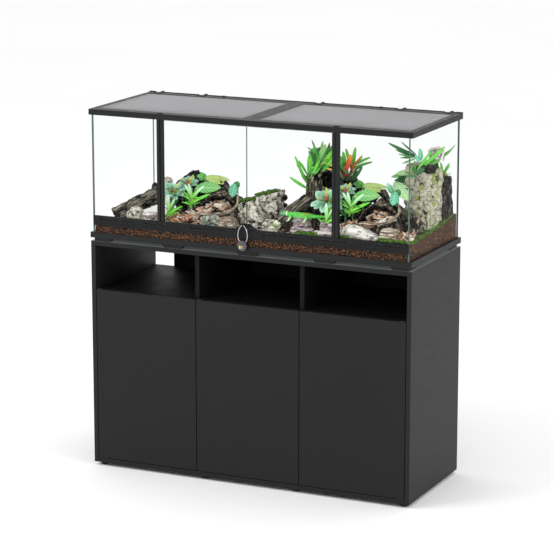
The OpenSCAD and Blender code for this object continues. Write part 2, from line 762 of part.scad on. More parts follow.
leg_top = lock_z + sqrt(pow(lock_d / 2, 2) - pow(leg_spacing / 2, 2));
shackle_top = loop_top - wire_d / 2;

// A smooth curve through places p, with n steps between neighbours
function curve(p, n) = [for (i = [1:len(p) - 3], k = [0:i == len(p) - 3 ? n : n - 1]) let (t = k / n)
    0.5 * (2 * p[i] + (p[i + 1] - p[i - 1]) * t + (2 * p[i - 1] - 5 * p[i] + 4 * p[i + 1] - p[i + 2]) * t * t
        + (3 * p[i] - 3 * p[i + 1] + p[i + 2] - p[i - 1]) * t * t * t)];

// The shackle's wire: up out of the body, round an almond-shaped loop and through the lug at its top
module shackle() {
    half_way = [[leg_spacing / 2, leg_top], [leg_spacing / 2, leg_top + 4], [leg_spacing / 2 + 0.7, leg_top + 7],
        [belly - 1.8, leg_top + 13],
        [belly, shackle_top - 38], [belly - 1.2, shackle_top - 28], [belly - 4.4, shackle_top - 18],
        [belly - 8.2, shackle_top - 9.5], [belly - 12.4, shackle_top - 3], [2.6, shackle_top - 0.6]];
    down = [for (i = [len(half_way) - 1:-1:0]) half_way[i]];
    foot_l = [leg_spacing / 2, leg_top - 7];
    foot_r = [-leg_spacing / 2, leg_top - 11];
    bends = concat([for (q = half_way) [q[0], q[1]]], [[0, shackle_top]], [for (q = down) [-q[0], q[1]]]);
    way = curve(concat([foot_l + [0, -5], foot_l], bends, [foot_r, foot_r + [0, -5]]), 2);
    color(steel) limb([for (q = way) [lock_x + q[0], lock_y, q[1]]], [for (q = way) wire_d / 2], sides = 12);
}

module lock_body() {
    color(ink) difference() {
        union() {
            translate([lock_x, lock_back, lock_z]) rotate([90, 0, 0]) {
                cylinder(d = lock_d - 2, h = lock_t, $fn = 96);
                translate([0, 0, 1]) cylinder(d = lock_d, h = lock_t - 2, $fn = 96);
            }
        }
        for (side = [-1, 1]) translate([lock_x + side * leg_spacing / 2, lock_y, leg_top - 12])
            cylinder(r = wire_d / 2 + run_gap, h = 20);
        for (k = [-1, 0, 1]) translate([lock_x + k * dial_pitch, lock_front, lock_z]) rotate([90, 0, 0])
            linear_extrude(2, center = true) hull() for (z = [-9, 9]) translate([0, z]) circle(dial_w / 2);
        for (k = [-1, 0, 1]) translate([lock_x + k * dial_pitch - dial_w / 2 - dial_gap, dial_y, dial_z])
            rotate([0, 90, 0]) difference() {
                cylinder(d = dial_d + 2 * dial_gap, h = dial_w + 2 * dial_gap);
                translate([0, 0, -1]) cylinder(r = axle_r, h = dial_w + 4);
            }
    }
}

// A number wheel, with one flat face for each figure
module dial(k) {
    color(steel) translate([lock_x + k * dial_pitch - dial_w / 2, dial_y, dial_z]) rotate([0, 90, 0])
        difference() {
            cylinder(d = dial_d, h = dial_w, $fn = 10);
            translate([0, 0, -1]) cylinder(r = axle_r + run_gap, h = dial_w + 2);
        }
}
module dial_1() dial(-1);
module dial_2() dial(0);
module dial_3() dial(1);

// ---------------------------------------------------------------- planted scene

module substrate() {
    nx = 26;
    ny = 10;
    y0 = rail_back + 1;
    y1 = in_y - 0.5;
    side = in_x - 0.3;
    top = [for (i = [0:nx]) [for (j = [ny:-1:0]) let (x = -side + 2 * side * i / nx, y = y0 + (y1 - y0) * j / ny)
        [x, y, floor_z + soil_depth + rise(x / scene_fit[0], y / scene_fit[1])]]];
    // Each ring is a slice across the tank: along the floor, then back over the top
    color(earth) {
        skin([for (row = top) concat([[row[0][0], y0, floor_z + 1], [row[0][0], y1, floor_z + 1]], row)]);
        block([-side, -in_y + 0.5, floor_z], [side, y1, rail_z - 2]);
    }
}

module moss() {
    color("#5c8a2c") scene() {
        for (p = [[218, 104, 1], [350, 34, 2], [500, 62, 3], [555, 44, 4]])
            boulder([p[0], -204.5, rise(p[0], -204.5) + 6], [p[1], 20, 20], p[2], 0.2, 0.7, 12, 4);
        for (k = [0:5]) let (y = -150 + 66 * k)
            boulder([scene_x - 12, y, rise(scene_x, y) + 1], [22, 62, 18], k + 3, 0.2, 0.7, 10, 4);
    }
}

module flat_stones() {
    color("#a8a196") scene() {
        boulder(from_left(200, -186, 12.5), [60, 42, 18], 1);
        boulder(from_left(208, -190, -9), [78, 42, 24], 2);
        boulder(from_middle(-142, -186, 3), [64, 40, 40], 3);
        boulder(from_middle(186, -178, 27), [64, 46, 24], 4);
        boulder(from_middle(188, -184, 2), [90, 44, 28], 5);
        boulder(from_middle(274, -151, 15), [66, 54, 58], 6);
        boulder(from_middle(280, -197, 3), [94, 26, 18], 7);
        boulder(from_right(181, -172, 13), [154, 62, 46], 8, 0.06);
    }
}

module fallen_logs() {
    color(bark) scene() {
        limb([from_left(46, -152, -8), from_left(86, -112, 16), from_left(122, -76, 38), from_left(156, -38, 56)],
            [27, 26, 25, 23], 14, 1, 2, 0.12);
        limb([from_middle(82, -142, 20), from_middle(108, -116, 42), from_middle(132, -90, 62), from_middle(156, -64, 84)],
            [20, 21, 22, 22], 14, 1, 5, 0.12);
    }
}

module dark_rocks() {
    color("#3a3836") scene() {
        boulder(from_left(228, 62, 52), [128, 96, 146], 4, 0.16);
        boulder(from_middle(276, 62, 62), [108, 92, 176], 6, 0.16);
        boulder(from_left(134, -26, 70), [24, 24, 40], 7, 0.1);
    }
}

// A piece of bark lying as a half tube, open to the front
module bark_hide(at, turn, radius, length) {
    wall = 9;
    translate(at) rotate([0, 0, turn]) rotate([90, 0, 0]) linear_extrude(length, center = true, convexity = 4)
        difference() {
            circle(radius);
            circle(radius - wall);
            translate([-2 * radius, -2 * radius]) square([4 * radius, 2 * radius]);
        }
}

module bark_hides() {
    color(bark) scene() {
        bark_hide([-186, -52, -4], 14, 80, 124);
        bark_hide([420, -50, 2], 10, 80, 124);
    }
}

module leaf_litter() {
    color("#9a6a48") scene() {
        boulder([-196, -98, 0], [112, 96, 62], 3, 0.1, 0.8, 12, 4);
        boulder([-286, -168, 0], [96, 70, 34], 5, 0.1, 0.8, 12, 4);
        boulder([424, -104, 0], [112, 80, 70], 8, 0.1, 0.8, 12, 4);
    }
}

module cork_stump() {
    color(ash) scene() {
        boulder(from_middle(27, -84, 46), [90, 84, 146], 3, 0.08, 0.6, 16, 7);
        boulder(from_middle(-51, -104, 24), [58, 66, 104], 5, 0.08, 0.6, 14, 6);
        boulder(from_middle(26, -162, 4), [110, 60, 52], 9, 0.08, 0.7, 14, 5);
    }
}

module hollow_stump() {
    at = from_middle(184, -22, 0);
    color("#4b4238") scene() difference() {
        limb([at + [-6, 4, -20], at + [-4, 2, 40], at + [0, 0, 100], at + [2, 0, 150], at + [0, 0, 192]],
            [60, 52, 50, 46, 36], 16, 1, 4, 0.14);
        limb([at + [44, -100, 150], at + [24, -30, 156], at + [16, 10, 160]], [30, 24, 12], 10);
    }
}

module cork_column() {
    color(ash) scene() {
        boulder(from_right(54, 48, 92), [98, 144, 256], 2, 0.06, 0.55, 16, 8);
        boulder(from_right(40, 172, 74), [70, 78, 228], 7, 0.06, 0.6, 14, 7);
        boulder(from_right(42, 100, 246), [62, 92, 48], 4, 0.06, 0.6, 12, 5);
        limb([from_right(44, -118, 0), from_right(42, -88, 22), from_right(38, -62, 42)], [22, 25, 25], 12, 1, 3, 0.08);
    }
}

// The place in the ground under a plant
function rooted(at) = [at[0], at[1], rise(at[0], at[1]) - 4];

module planted(at, count, length, width, lift, droop, seed = 0) {
    rosette(at, rooted(at), count, length, width, lift, droop, seed);
}

// One broad leaf on a long stalk out of the ground
module broad_leaf(at, turn, lift, length, width) {
    way = [cos(turn), sin(turn), 0];
    blade = [for (i = [1:5]) let (s = i / 5)
        at + way * length * s * cos(lift) + [0, 0, length * (s * sin(lift) - 0.25 * s * s)]];
    limb(concat([rooted(at) - way * 8, at - [0, 0, 24] - way * 6, at], blade),
        concat([[2.4, 2.4], [2, 2], [2, 1.4]], [for (i = [1:5]) [width / 2 * max(0.06, sin(36 * i * 0.92 - 4)), 0.9]]),
        sides = 4);
}

module plants() {
    color(leaf_green) scene() {
        planted(from_left(240, -92, 82), 7, 38, 15, 30, 0.4, 1);
        planted(from_left(266, -22, 100), 7, 34, 14, 30, 0.4, 2);
        planted(from_left(262, -168, 2), 7, 62, 9, 55, 0.4, 3);
        planted(from_left(312, -108, 34), 7, 66, 9, 55, 0.4, 4);
        broad_leaf(from_left(288, -22, 100), -14, 6, 116, 52);
        broad_leaf(from_left(276, 42, 116), -10, 10, 92, 34);
        broad_leaf(from_middle(-124, -84, 76), 60, 70, 52, 30);
        planted(from_middle(152, -36, 180), 9, 92, 15, 48, 0.32, 5);
        planted(from_middle(176, 0, 200), 8, 84, 15, 66, 0.3, 6);
        planted(from_middle(248, -112, 98), 8, 46, 17, 30, 0.4, 7);
        planted(from_middle(336, -150, 40), 7, 66, 10, 55, 0.4, 8);
        planted(from_middle(268, 22, 184), 9, 78, 13, 62, 0.3, 9);
        broad_leaf(from_middle(306, -48, 108), -10, 6, 116, 52);
        broad_leaf(from_middle(322, -2, 132), -8, 10, 92, 34);
        broad_leaf(from_right(118, -62, 96), 60, 70, 52, 30);
        broad_leaf(from_right(146, -10, 130), 20, 30, 60, 36);
        broad_leaf(from_right(142, 16, 170), -20, 20, 70, 34);
        planted(from_right(74, 40, 222), 8, 50, 11, 30, 0.3, 10);
        planted(from_right(36, 168, 196), 6, 26, 10, 60, 0.3, 11);
    }
}

module gecko() {
    nose = from_middle(97, -168, 50);
    color("#3fc04a") scene() {
        limb([nose, nose + [8, -1, 2], nose + [20, -2, 3], nose + [32, -2, 2], nose + [46, -1, 0],
            nose + [76, 0, -2], nose + [106, 3, -1], nose + [122, 6, -1], nose + [150, 14, -2], nose + [186, 28, 0]],
            [2.5, 6, 8.6, 6.6, 8, 9.6, 8, 5.6, 4, 1], 10, 0.82);
        for (leg = [[44, -1], [46, 1], [104, -1], [106, 1]]) let (hip = nose + [leg[0], 3 * leg[1], -2])
            limb([hip, hip + [4, 14 * leg[1], 0], hip + [-4, 20 * leg[1], -11]], [4, 3, 2.4], 6);
    }
}

cabinet_base();
cabinet_top();
cabinet_sides();
cabinet_dividers();
niche_shelves();
cabinet_back();
cabinet_feet();
pivot_plates();
magnet_catches();
left_cabinet_door();
middle_cabinet_door();
right_cabinet_door();
left_door_fittings();
middle_door_fittings();
right_door_fittings();
tank_base_frame();
floor_pane();
back_pane();
side_panes();
lower_front_pane();
front_lights();
vent_rail();
vent_mesh();
front_posts();
top_frame();
lid_ledges();
left_glass_door();
right_glass_door();
left_hinge_strip();
right_hinge_strip();
left_lock_tab();
right_lock_tab();
left_lid_frame();
right_lid_frame();
left_lid_mesh();
right_lid_mesh();
left_lid_catch();
right_lid_catch();
cable_gate_1();
cable_gate_2();
cable_gate_3();
cable_gate_4();
cable_gate_5();
shackle();
lock_body();
dial_1();
dial_2();
dial_3();
substrate();
moss();
flat_stones();
fallen_logs();
dark_rocks();
bark_hides();
leaf_litter();
cork_stump();
hollow_stump();
cork_column();
plants();
gecko();
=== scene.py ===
"""A planted glass terrarium on its cabinet, dressed for the studio. Metres, X right, Y back, Z up."""

import math
import random

import bpy
from mathutils import Matrix, Vector, noise


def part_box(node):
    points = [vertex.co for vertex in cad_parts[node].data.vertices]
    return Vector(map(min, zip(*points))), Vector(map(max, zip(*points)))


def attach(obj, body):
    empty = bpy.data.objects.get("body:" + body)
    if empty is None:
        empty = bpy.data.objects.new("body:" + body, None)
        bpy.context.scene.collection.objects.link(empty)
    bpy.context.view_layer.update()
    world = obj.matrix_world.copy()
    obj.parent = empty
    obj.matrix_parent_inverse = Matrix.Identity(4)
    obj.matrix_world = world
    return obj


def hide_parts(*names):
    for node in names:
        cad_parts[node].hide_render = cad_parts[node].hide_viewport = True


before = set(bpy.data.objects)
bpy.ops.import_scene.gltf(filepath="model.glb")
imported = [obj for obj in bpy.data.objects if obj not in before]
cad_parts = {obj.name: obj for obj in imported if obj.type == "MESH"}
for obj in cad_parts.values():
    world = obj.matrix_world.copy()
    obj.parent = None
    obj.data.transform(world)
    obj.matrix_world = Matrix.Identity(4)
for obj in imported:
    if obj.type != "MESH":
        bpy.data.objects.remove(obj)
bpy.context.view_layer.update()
TANK = "cabinet_and_tank"

# ---------------------------------------------------------------- workbench


def deselect():
    bpy.ops.object.select_all(action="DESELECT")


def only(obj):
    """Makes one object the only one selected and active."""
    deselect()
    obj.select_set(True)
    bpy.context.view_layer.objects.active = obj
    return obj


def added(name):
    """The primitive that was just added, under its own name."""
    obj = bpy.context.active_object
    obj.name = name
    obj.data.name = name
    return obj


def settle(obj):
    """Puts an object's place, turn and size into its mesh."""
    only(obj)
    bpy.ops.object.transform_apply(location=True, rotation=True, scale=True)
    return obj


def finish_modifiers(obj):
    only(obj)
    for m in list(obj.modifiers):
        bpy.ops.object.modifier_apply(modifier=m.name)
    return obj


def joined(name, parts):
    """Several meshes made one."""
    deselect()
    for p in parts:
        p.select_set(True)
    bpy.context.view_layer.objects.active = parts[0]
    if len(parts) > 1:
        bpy.ops.object.join()
    return added(name)


def mode(name, select=None):
    """Goes to a mode, and there selects or deselects everything if asked."""
    bpy.ops.object.mode_set(mode=name)
    if select:
        bpy.ops.mesh.select_all(action=select)


def face_outwards():
    """Turns the faces of the active mesh outwards."""
    mode("EDIT", "SELECT")
    bpy.ops.mesh.normals_make_consistent(inside=False)
    mode("OBJECT")


def smooth(obj, angle):
    only(obj)
    bpy.ops.object.shade_smooth_by_angle(angle=math.radians(angle))
    return obj


def fit(obj, material, nodes=(), body=TANK):
    """Gives a finished piece its material, the CAD nodes it stands for and the body it goes with."""
    settle(obj)
    obj.data.materials.clear()
    obj.data.materials.append(material)
    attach(obj, body)
    if nodes:
        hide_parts(*nodes)
    return obj


PRESS_WALL, PRESS_FLOOR, PRESS = 0.580, 0.838, 0.1


def inside_tank(obj, wall=PRESS_WALL):
    """Presses what would pass through the right pane or the floor pane flat against its inside."""
    for v in obj.data.vertices:
        if v.co.x > wall:
            v.co.x = wall + PRESS * (v.co.x - wall)
        if v.co.z < PRESS_FLOOR:
            v.co.z = PRESS_FLOOR + PRESS * (v.co.z - PRESS_FLOOR)
    return obj


def soften(a, b, t):
    """Runs smoothly from 0 at a to 1 at b."""
    t = min(1.0, max(0.0, (t - a) / (b - a)))
    return t * t * (3 - 2 * t)


# ---------------------------------------------------------------- finishes


def shaded(colour, by):
    return tuple(c * by for c in colour)


class Finish:
    """A material being built: its nodes and its main shader."""

    def __init__(self, name, roughness=0.5, metallic=0.0, specular=0.5):
        self.material = bpy.data.materials.new(name)
        self.material.use_nodes = True
        self.tree = self.material.node_tree
        self.shader = self.tree.nodes["Principled BSDF"]
        for socket, value in (("Roughness", roughness), ("Metallic", metallic), ("Specular IOR Level", specular)):
            self.shader.inputs[socket].default_value = value
        self.coordinates = self.node("TexCoord").outputs

    def node(self, kind, *inputs, **settings):
        """A new node. An input is (socket, its value) or (socket, the output that feeds it)."""
        n = self.tree.nodes.new("ShaderNode" + kind)
        for key, value in settings.items():
            setattr(n, key, value)
        for socket, value in inputs:
            if isinstance(value, bpy.types.NodeSocket):
                self.tree.links.new(value, n.inputs[socket])
            else:
                n.inputs[socket].default_value = value
        return n

    def place(self, scale=(1, 1, 1), turn=(0, 0, 0), source="Object"):
        return self.node("Mapping", ("Scale", scale), ("Rotation", [math.radians(t) for t in turn]),
                         ("Vector", self.coordinates[source])).outputs["Vector"]

    def clouds(self, where, scale, detail=4.0, rough=0.55):
        return self.node("TexNoise", ("Scale", scale), ("Detail", detail), ("Roughness", rough),
                         ("Vector", where)).outputs["Fac"]

    def warp(self, where, scale, amount):
        """Bends coordinates about, so that what is drawn with them runs crooked."""
        cloud = self.node("TexNoise", ("Scale", scale), ("Detail", 3), ("Vector", where))
        return self.node("VectorMath", (0, cloud.outputs["Color"]), (1, (amount, amount, amount)), (2, where),
                         operation="MULTIPLY_ADD").outputs["Vector"]

    def along_grain(self, scale):
        """Coordinates that run along a piece of wood, however the piece is bent."""
        return self.node("Mapping", ("Scale", scale), ("Vector",
                                                       self.attribute("straight", "Vector"))).outputs["Vector"]

    def relief(self, low, high):
        """Painted shade: 1 in the hollows of a worked surface, 0 on its heights."""
        return self.ramp(self.maths("MULTIPLY_ADD", self.attribute("relief"), 0.5, 0.5), (low, 1.0), (high, 0.0))

    def cells(self, where, scale, feature="F1", output="Distance"):
        return self.node("TexVoronoi", ("Scale", scale), ("Vector", where), feature=feature).outputs[output]

    def ramp(self, factor, *stops):
        n = self.node("ValToRGB", ("Fac", factor))
        keys = n.color_ramp.elements
        while len(keys) < len(stops):
            keys.new(0.5)
        for key, (at, colour) in zip(keys, stops):
            key.position = at
            key.color = (*colour, 1) if isinstance(colour, tuple) else (colour, colour, colour, 1)
        return n.outputs["Color"]

    def mix(self, factor, a, b):
        a, b = ((*c, 1) if isinstance(c, tuple) else c for c in (a, b))
        return self.node("Mix", (0, factor), (6, a), (7, b), data_type="RGBA").outputs[2]

    def maths(self, kind, a, b=0.0, c=0.0):
        return self.node("Math", (0, a), (1, b), (2, c), operation=kind).outputs[0]

    def split(self, vector):
        return self.node("SeparateXYZ", (0, vector)).outputs

    def attribute(self, name, output="Fac"):
        return self.node("Attribute", attribute_name=name).outputs[output]

    def colour(self, socket):
        self.tree.links.new(socket, self.shader.inputs["Base Color"])

    def rough(self, factor, low, high):
        self.tree.links.new(self.ramp(factor, (0.3, low), (0.7, high)), self.shader.inputs["Roughness"])

    def bump(self, height, strength=0.3, depth=0.001):
        n = self.node("Bump", ("Strength", strength), ("Distance", depth), ("Height", height))
        self.tree.links.new(n.outputs["Normal"], self.shader.inputs["Normal"])


CABINET_Y = 0.236  # the painted glow on the top panel, standing in for light that reaches it under the tank, stays this near the middle
PAINTED_GLOW = (0.055, 0.061, 0.061)


def laminate(name, shade, specular=0.22, top=None, upper=None):
    """Foil-faced board with a faint fine grain.

    top is a far lighter colour, with a faint glow, for what faces up: painted light on a surface that lies in shade.
    upper is (height, colour): a lighter colour, painted light, for what faces the front above that height.
    """
    f = Finish(name, roughness=0.5, specular=specular)
    grain = f.clouds(f.place((2, 2, 60)), 6, 6, 0.6)
    cloud = f.clouds(f.place(), 3, 2)
    stops = (0.3, shaded(shade, 0.86)), (0.7, shaded(shade, 1.14))
    base = f.mix(0.35, f.ramp(grain, *stops), f.ramp(cloud, *stops))
    if top:
        # painted light: what faces up takes the far lighter top colour, and near the middle a faint glow
        up = f.maths("GREATER_THAN", f.split(f.coordinates["Normal"])[2], 0.5)
        base = f.mix(up, base, top)
        near = f.maths("LESS_THAN", f.maths("ABSOLUTE", f.split(f.place())[1]), CABINET_Y)
        strength = f.maths("MULTIPLY", f.maths("MULTIPLY", up, near), f.ramp(cloud, (0.3, 0.8), (0.7, 0.9)))
        glow = f.mix(strength, (0, 0, 0), PAINTED_GLOW)
        f.tree.links.new(glow, f.shader.inputs["Emission Color"])
        f.shader.inputs["Emission Strength"].default_value = 1.0
    if upper:
        # painted light: inward faces above the height take the lighter upper colour
        inward = f.maths("LESS_THAN", f.split(f.coordinates["Normal"])[1], -0.5)
        above = f.maths("GREATER_THAN", f.split(f.place())[2], upper[0])
        base = f.mix(f.maths("MULTIPLY", inward, above), base, upper[1])
    f.colour(base)
    f.rough(grain, 0.46, 0.58)
    f.bump(f.clouds(f.place((60, 60, 900)), 6, 3), 0.12, 0.0003)
    return f.material


def moulded(name, shade, roughness=0.42, specular=0.25):
    """Satin moulded plastic with a fine spark-eroded grain."""
    f = Finish(name, roughness=roughness, specular=specular)
    cloud = f.clouds(f.place(), 14, 3)
    f.colour(f.ramp(cloud, (0.25, shaded(shade, 0.9)), (0.75, shaded(shade, 1.1))))
    f.rough(f.clouds(f.place(), 60, 4), roughness - 0.06, roughness + 0.08)
    f.bump(f.clouds(f.place(), 1800, 2), 0.1, 0.0002)
    return f.material


def metal(name, shade, roughness, contrast=0.1):
    f = Finish(name, roughness=roughness, metallic=1.0)
    streaks = f.clouds(f.place(), 90, 4)
    f.colour(f.ramp(streaks, (0.3, shaded(shade, 1 - contrast)), (0.7, shade)))
    f.rough(streaks, max(0.02, roughness - 0.05), roughness + 0.06)
    return f.material


def pane(name, thin_axis):
    """Float glass: clear through its broad faces, grey green at its cut edges."""
    f = Finish(name, roughness=0.14, specular=0.4)
    tint = f.clouds(f.place(), 4, 2)
    f.colour(f.ramp(tint, (0.3, (0.055, 0.090, 0.080)), (0.7, (0.085, 0.130, 0.117))))
    facing = f.split(f.coordinates["Normal"])[thin_axis]
    broad = f.maths("GREATER_THAN", f.maths("ABSOLUTE", facing), 0.5)
    clear = f.node("BsdfTransparent", ("Color", (0.992, 0.998, 0.996, 1)))
    shine = f.node("BsdfGlossy", ("Roughness", 0.03), ("Color", (0.9, 0.95, 0.95, 1)))
    aslant = f.node("LayerWeight").outputs["Facing"]
    gloss = f.maths("MULTIPLY_ADD", f.maths("POWER", aslant, 9.0), 0.4, 0.003)
    through = f.node("MixShader", (0, gloss), (1, clear.outputs[0]), (2, shine.outputs[0]))
    whole = f.node("MixShader", (0, broad), (1, f.shader.outputs[0]), (2, through.outputs[0]))
    f.tree.links.new(whole.outputs[0], f.tree.nodes["Material Output"].inputs["Surface"])
    return f.material


def soil_finish():
    """Dark soil with orange fibres in it where the ground is planted, also painted there as the shade under and
    behind the plants, and dry white sand elsewhere.
    """
    f = Finish("soil_and_sand", roughness=0.85, specular=0.2)
    at = f.place()
    crumbs = f.split(f.cells(at, 260, output="Color"))[0]
    fibres = f.clouds(f.warp(f.place((1, 1, 1.6)), 60, 0.02), 105, 6, 0.72)
    dark = f.ramp(crumbs, (0.0, (0.006, 0.003, 0.002)), (0.5, (0.022, 0.010, 0.006)), (0.8, (0.042, 0.018, 0.009)),
                  (1.0, (0.085, 0.036, 0.016)))
    dark = f.mix(f.ramp(fibres, (0.54, 0.0), (0.62, 0.8)), dark, (0.34, 0.125, 0.035))
    dark = f.mix(f.ramp(f.clouds(at, 320, 3), (0.66, 0.0), (0.70, 0.8)), dark, (0.62, 0.36, 0.16))
    sand = f.ramp(crumbs, (0.0, (0.72, 0.71, 0.68)), (0.5, (0.86, 0.85, 0.83)), (1.0, (0.95, 0.95, 0.94)))
    edge = f.maths("MULTIPLY_ADD", f.maths("SUBTRACT", f.clouds(at, 70, 4), 0.5), 0.6, f.attribute("damp"))
    f.colour(f.mix(f.ramp(edge, (0.42, 0.0), (0.56, 1.0)), sand, dark))
    f.bump(f.cells(at, 200), 0.8, 0.003)
    return f.material


def moss_finish():
    f = Finish("living_moss", roughness=0.9, specular=0.2)
    at = f.place()
    f.colour(f.ramp(f.clouds(at, 160, 5), (0.25, (0.010, 0.028, 0.004)), (0.5, (0.055, 0.125, 0.012)),
                    (0.72, (0.19, 0.30, 0.03)), (0.9, (0.42, 0.48, 0.07))))
    f.bump(f.clouds(at, 420, 4), 1.0, 0.003)
    return f.material


def bark_finish(name, deep, mid, pale, furrow, hollows=(0.34, 0.47)):
    """Furrowed bark, dark in its cracks and pale on its ridges, its furrows running along the grain, with painted
    shade in the hollows of its worked surface.
    """
    f = Finish(name, roughness=0.88, specular=0.15)
    at = f.warp(f.along_grain(furrow), 0.9, 0.7)
    plates = f.cells(at, 1.0, "DISTANCE_TO_EDGE")
    wander = f.clouds(at, 0.8, 6, 0.65)
    streaks = f.clouds(f.along_grain((3.4 * furrow[0], 3.4 * furrow[1], furrow[2] * 1.6)), 1.0, 5, 0.6)
    ridges = f.maths("MULTIPLY", f.ramp(plates, (0.0, 0.0), (0.20, 1.0)), f.ramp(wander, (0.25, 0.30), (0.65, 1.0)))
    base = f.ramp(ridges, (0.05, deep), (0.45, mid), (0.9, pale))
    base = f.mix(f.ramp(streaks, (0.50, 0.0), (0.68, 0.6)), base, pale)
    base = f.mix(f.ramp(streaks, (0.34, 0.7), (0.46, 0.0)), base, deep)
    # painted shade in the hollows of the worked surface
    base = f.mix(f.relief(*hollows), base, deep)
    f.colour(base)
    f.bump(f.maths("ADD", ridges, f.maths("MULTIPLY", streaks, 0.8)), 0.9, 0.004)
    return f.material


def cork_finish(name, deep, mid, pale, moss=0.0):
    """Cork bark: pale and pitted, dark in its folds, with painted shade in its hollows, crooked streaks and flecks of
    moss.
    """
    f = Finish(name, roughness=0.9, specular=0.1)
    streaks = f.clouds(f.warp(f.place((46, 46, 90), (0, 24, 10)), 0.8, 1.3), 1.0, 6, 0.72)
    pits = f.clouds(f.place(), 210, 5, 0.65)
    plates = f.cells(f.warp(f.place((30, 30, 18)), 1.1, 0.9), 1.0, "DISTANCE_TO_EDGE")
    some = f.ramp(f.clouds(f.place(), 24, 2), (0.46, 0.0), (0.56, 0.9))
    base = f.ramp(streaks, (0.33, deep), (0.42, mid), (0.53, pale))
    base = f.mix(f.ramp(pits, (0.44, 0.0), (0.60, 0.8)), base, pale)
    base = f.mix(f.ramp(pits, (0.30, 0.7), (0.38, 0.0)), base, deep)
    base = f.mix(f.maths("MULTIPLY", some, f.ramp(plates, (0.02, 1.0), (0.08, 0.0))), base, deep)
    # painted shade in the hollows of the worked surface
    base = f.mix(f.relief(0.22, 0.40), base, deep)
    if moss:
        green = f.ramp(pits, (0.3, (0.10, 0.16, 0.02)), (0.7, (0.42, 0.50, 0.09)))
        base = f.mix(f.ramp(f.clouds(f.place(), 46, 5), (0.60 - moss, 0.0), (0.67 - moss, 0.9)), base, green)
    f.colour(base)
    f.bump(f.maths("ADD", streaks, f.maths("MULTIPLY", pits, 0.6)), 1.0, 0.004)
    return f.material


def stone_finish(name, ground, band, scale=(20, 20, 130), turn=(0, 12, 0), strength=0.75):
    """River stone with wavering bands."""
    f = Finish(name, roughness=0.6, specular=0.35)
    at = f.place(scale, turn)
    bands = f.clouds(f.warp(at, 0.5, 0.8), 1.0, 3, 0.5)
    speckle = f.clouds(f.place(), 240, 4)
    base = f.mix(f.ramp(bands, (0.47, 0.0), (0.52, strength)), ground, band)
    # painted shade: darker in the hollows of the worked surface
    base = f.mix(f.relief(0.26, 0.42), base, shaded(band, 0.3))
    f.colour(f.mix(f.ramp(speckle, (0.5, 0.0), (0.8, 0.4)), base, shaded(ground, 0.5)))
    f.rough(speckle, 0.5, 0.7)
    f.bump(speckle, 0.5, 0.0012)
    return f.material


def leaf_finish(name, *along, edge=None, vein=None, mottle=0.35, rib_count=0):
    """A leaf: its colour runs from the base to the tip, with its edges, midrib and mottling."""
    f = Finish(name, roughness=0.42, specular=0.4)
    f.shader.inputs["Coat Weight"].default_value = 0.15
    f.shader.inputs["Coat Roughness"].default_value = 0.3
    u, v, _ = f.split(f.place(source="UV"))
    base = f.ramp(v, *along)
    cloud = f.clouds(f.place(), 170, 4, 0.6)
    base = f.mix(f.ramp(cloud, (0.45, 0.0), (0.75, mottle)), base,
                 shaded(along[len(along) // 2][1], 0.45))
    aside = f.maths("ABSOLUTE", f.maths("SUBTRACT", u, 0.5))
    if edge:
        base = f.mix(f.ramp(aside, (0.36, 0.0), (0.46, 0.9)), base, edge)
    if vein:
        base = f.mix(f.ramp(aside, (0.02, 0.8), (0.07, 0.0)), base, vein)
    if rib_count:
        waves = f.maths("SINE", f.maths("MULTIPLY", f.maths("SUBTRACT", v, f.maths("MULTIPLY", aside, 0.45)),
                                        rib_count * 6.283))
        base = f.mix(f.ramp(waves, (0.30, 0.0), (0.85, 0.75)), base, vein or along[0][1])
        f.bump(waves, 0.6, 0.0015)
    f.colour(f.mix(f.ramp(f.attribute("tone"), (0.0, 0.0), (1.0, 0.7)), base, shaded(along[-1][1], 0.18)))
    return f.material


# One charcoal laminate in lit and shaded copies: the end panels a lighter copy and the top panel a slightly lighter
# one, painted light; the niche boards and the back board darker copies, painted shade.
charcoal = laminate("charcoal_laminate", (0.0078, 0.0078, 0.0082))
charcoal_top = laminate("charcoal_top_panel", (0.0085, 0.0085, 0.009), top=(0.17, 0.175, 0.175))
charcoal_side_lit = laminate("charcoal_end_panel", (0.0095, 0.0095, 0.01))
niche_shaded = laminate("niche_laminate", (0.0035, 0.0035, 0.0038), specular=0.12)
back_board = laminate("back_board", (0.004, 0.004, 0.004), specular=0.12, upper=(0.744, (0.09, 0.09, 0.092)))
black_plastic = moulded("frame_plastic", (0.0125, 0.013, 0.0133), 0.45, 0.16)
rail_plastic = moulded("rail_plastic", (0.0065, 0.0067, 0.007), 0.45, 0.18)
foot_plastic = moulded("foot_plastic", (0.012, 0.012, 0.0125), 0.5)
zinc = metal("dark_plated_steel", (0.055, 0.055, 0.058), 0.45)
stainless_mesh = metal("stainless_wire", (0.44, 0.44, 0.45), 0.4, 0.08)
polished_wire = metal("polished_wire", (0.50, 0.50, 0.51), 0.22)
lock_casting = metal("lock_casting", (0.13, 0.13, 0.135), 0.40, 0.25)
dial_yellow = moulded("dial_yellow", (0.82, 0.62, 0.04), 0.35)
dial_white = moulded("dial_white", (0.36, 0.36, 0.36), 0.35)
dial_grey = moulded("dial_grey", (0.12, 0.12, 0.125), 0.35)
figure_ink = moulded("figure_ink", (0.004, 0.004, 0.004), 0.4)
glass_x = pane("end_glass", 0)
glass_y = pane("front_glass", 1)
glass_z = pane("base_glass", 2)
soil = soil_finish()
moss_green = moss_finish()
cork_grey = cork_finish("grey_cork", (0.016, 0.013, 0.010), (0.26, 0.23, 0.18), (0.70, 0.67, 0.57))
column_cork = cork_finish("column_cork", (0.014, 0.012, 0.009), (0.17, 0.155, 0.115), (0.54, 0.51, 0.40), 0.05)
pale_cork = cork_finish("pale_cork", (0.12, 0.10, 0.07), (0.55, 0.50, 0.40), (0.86, 0.83, 0.74))
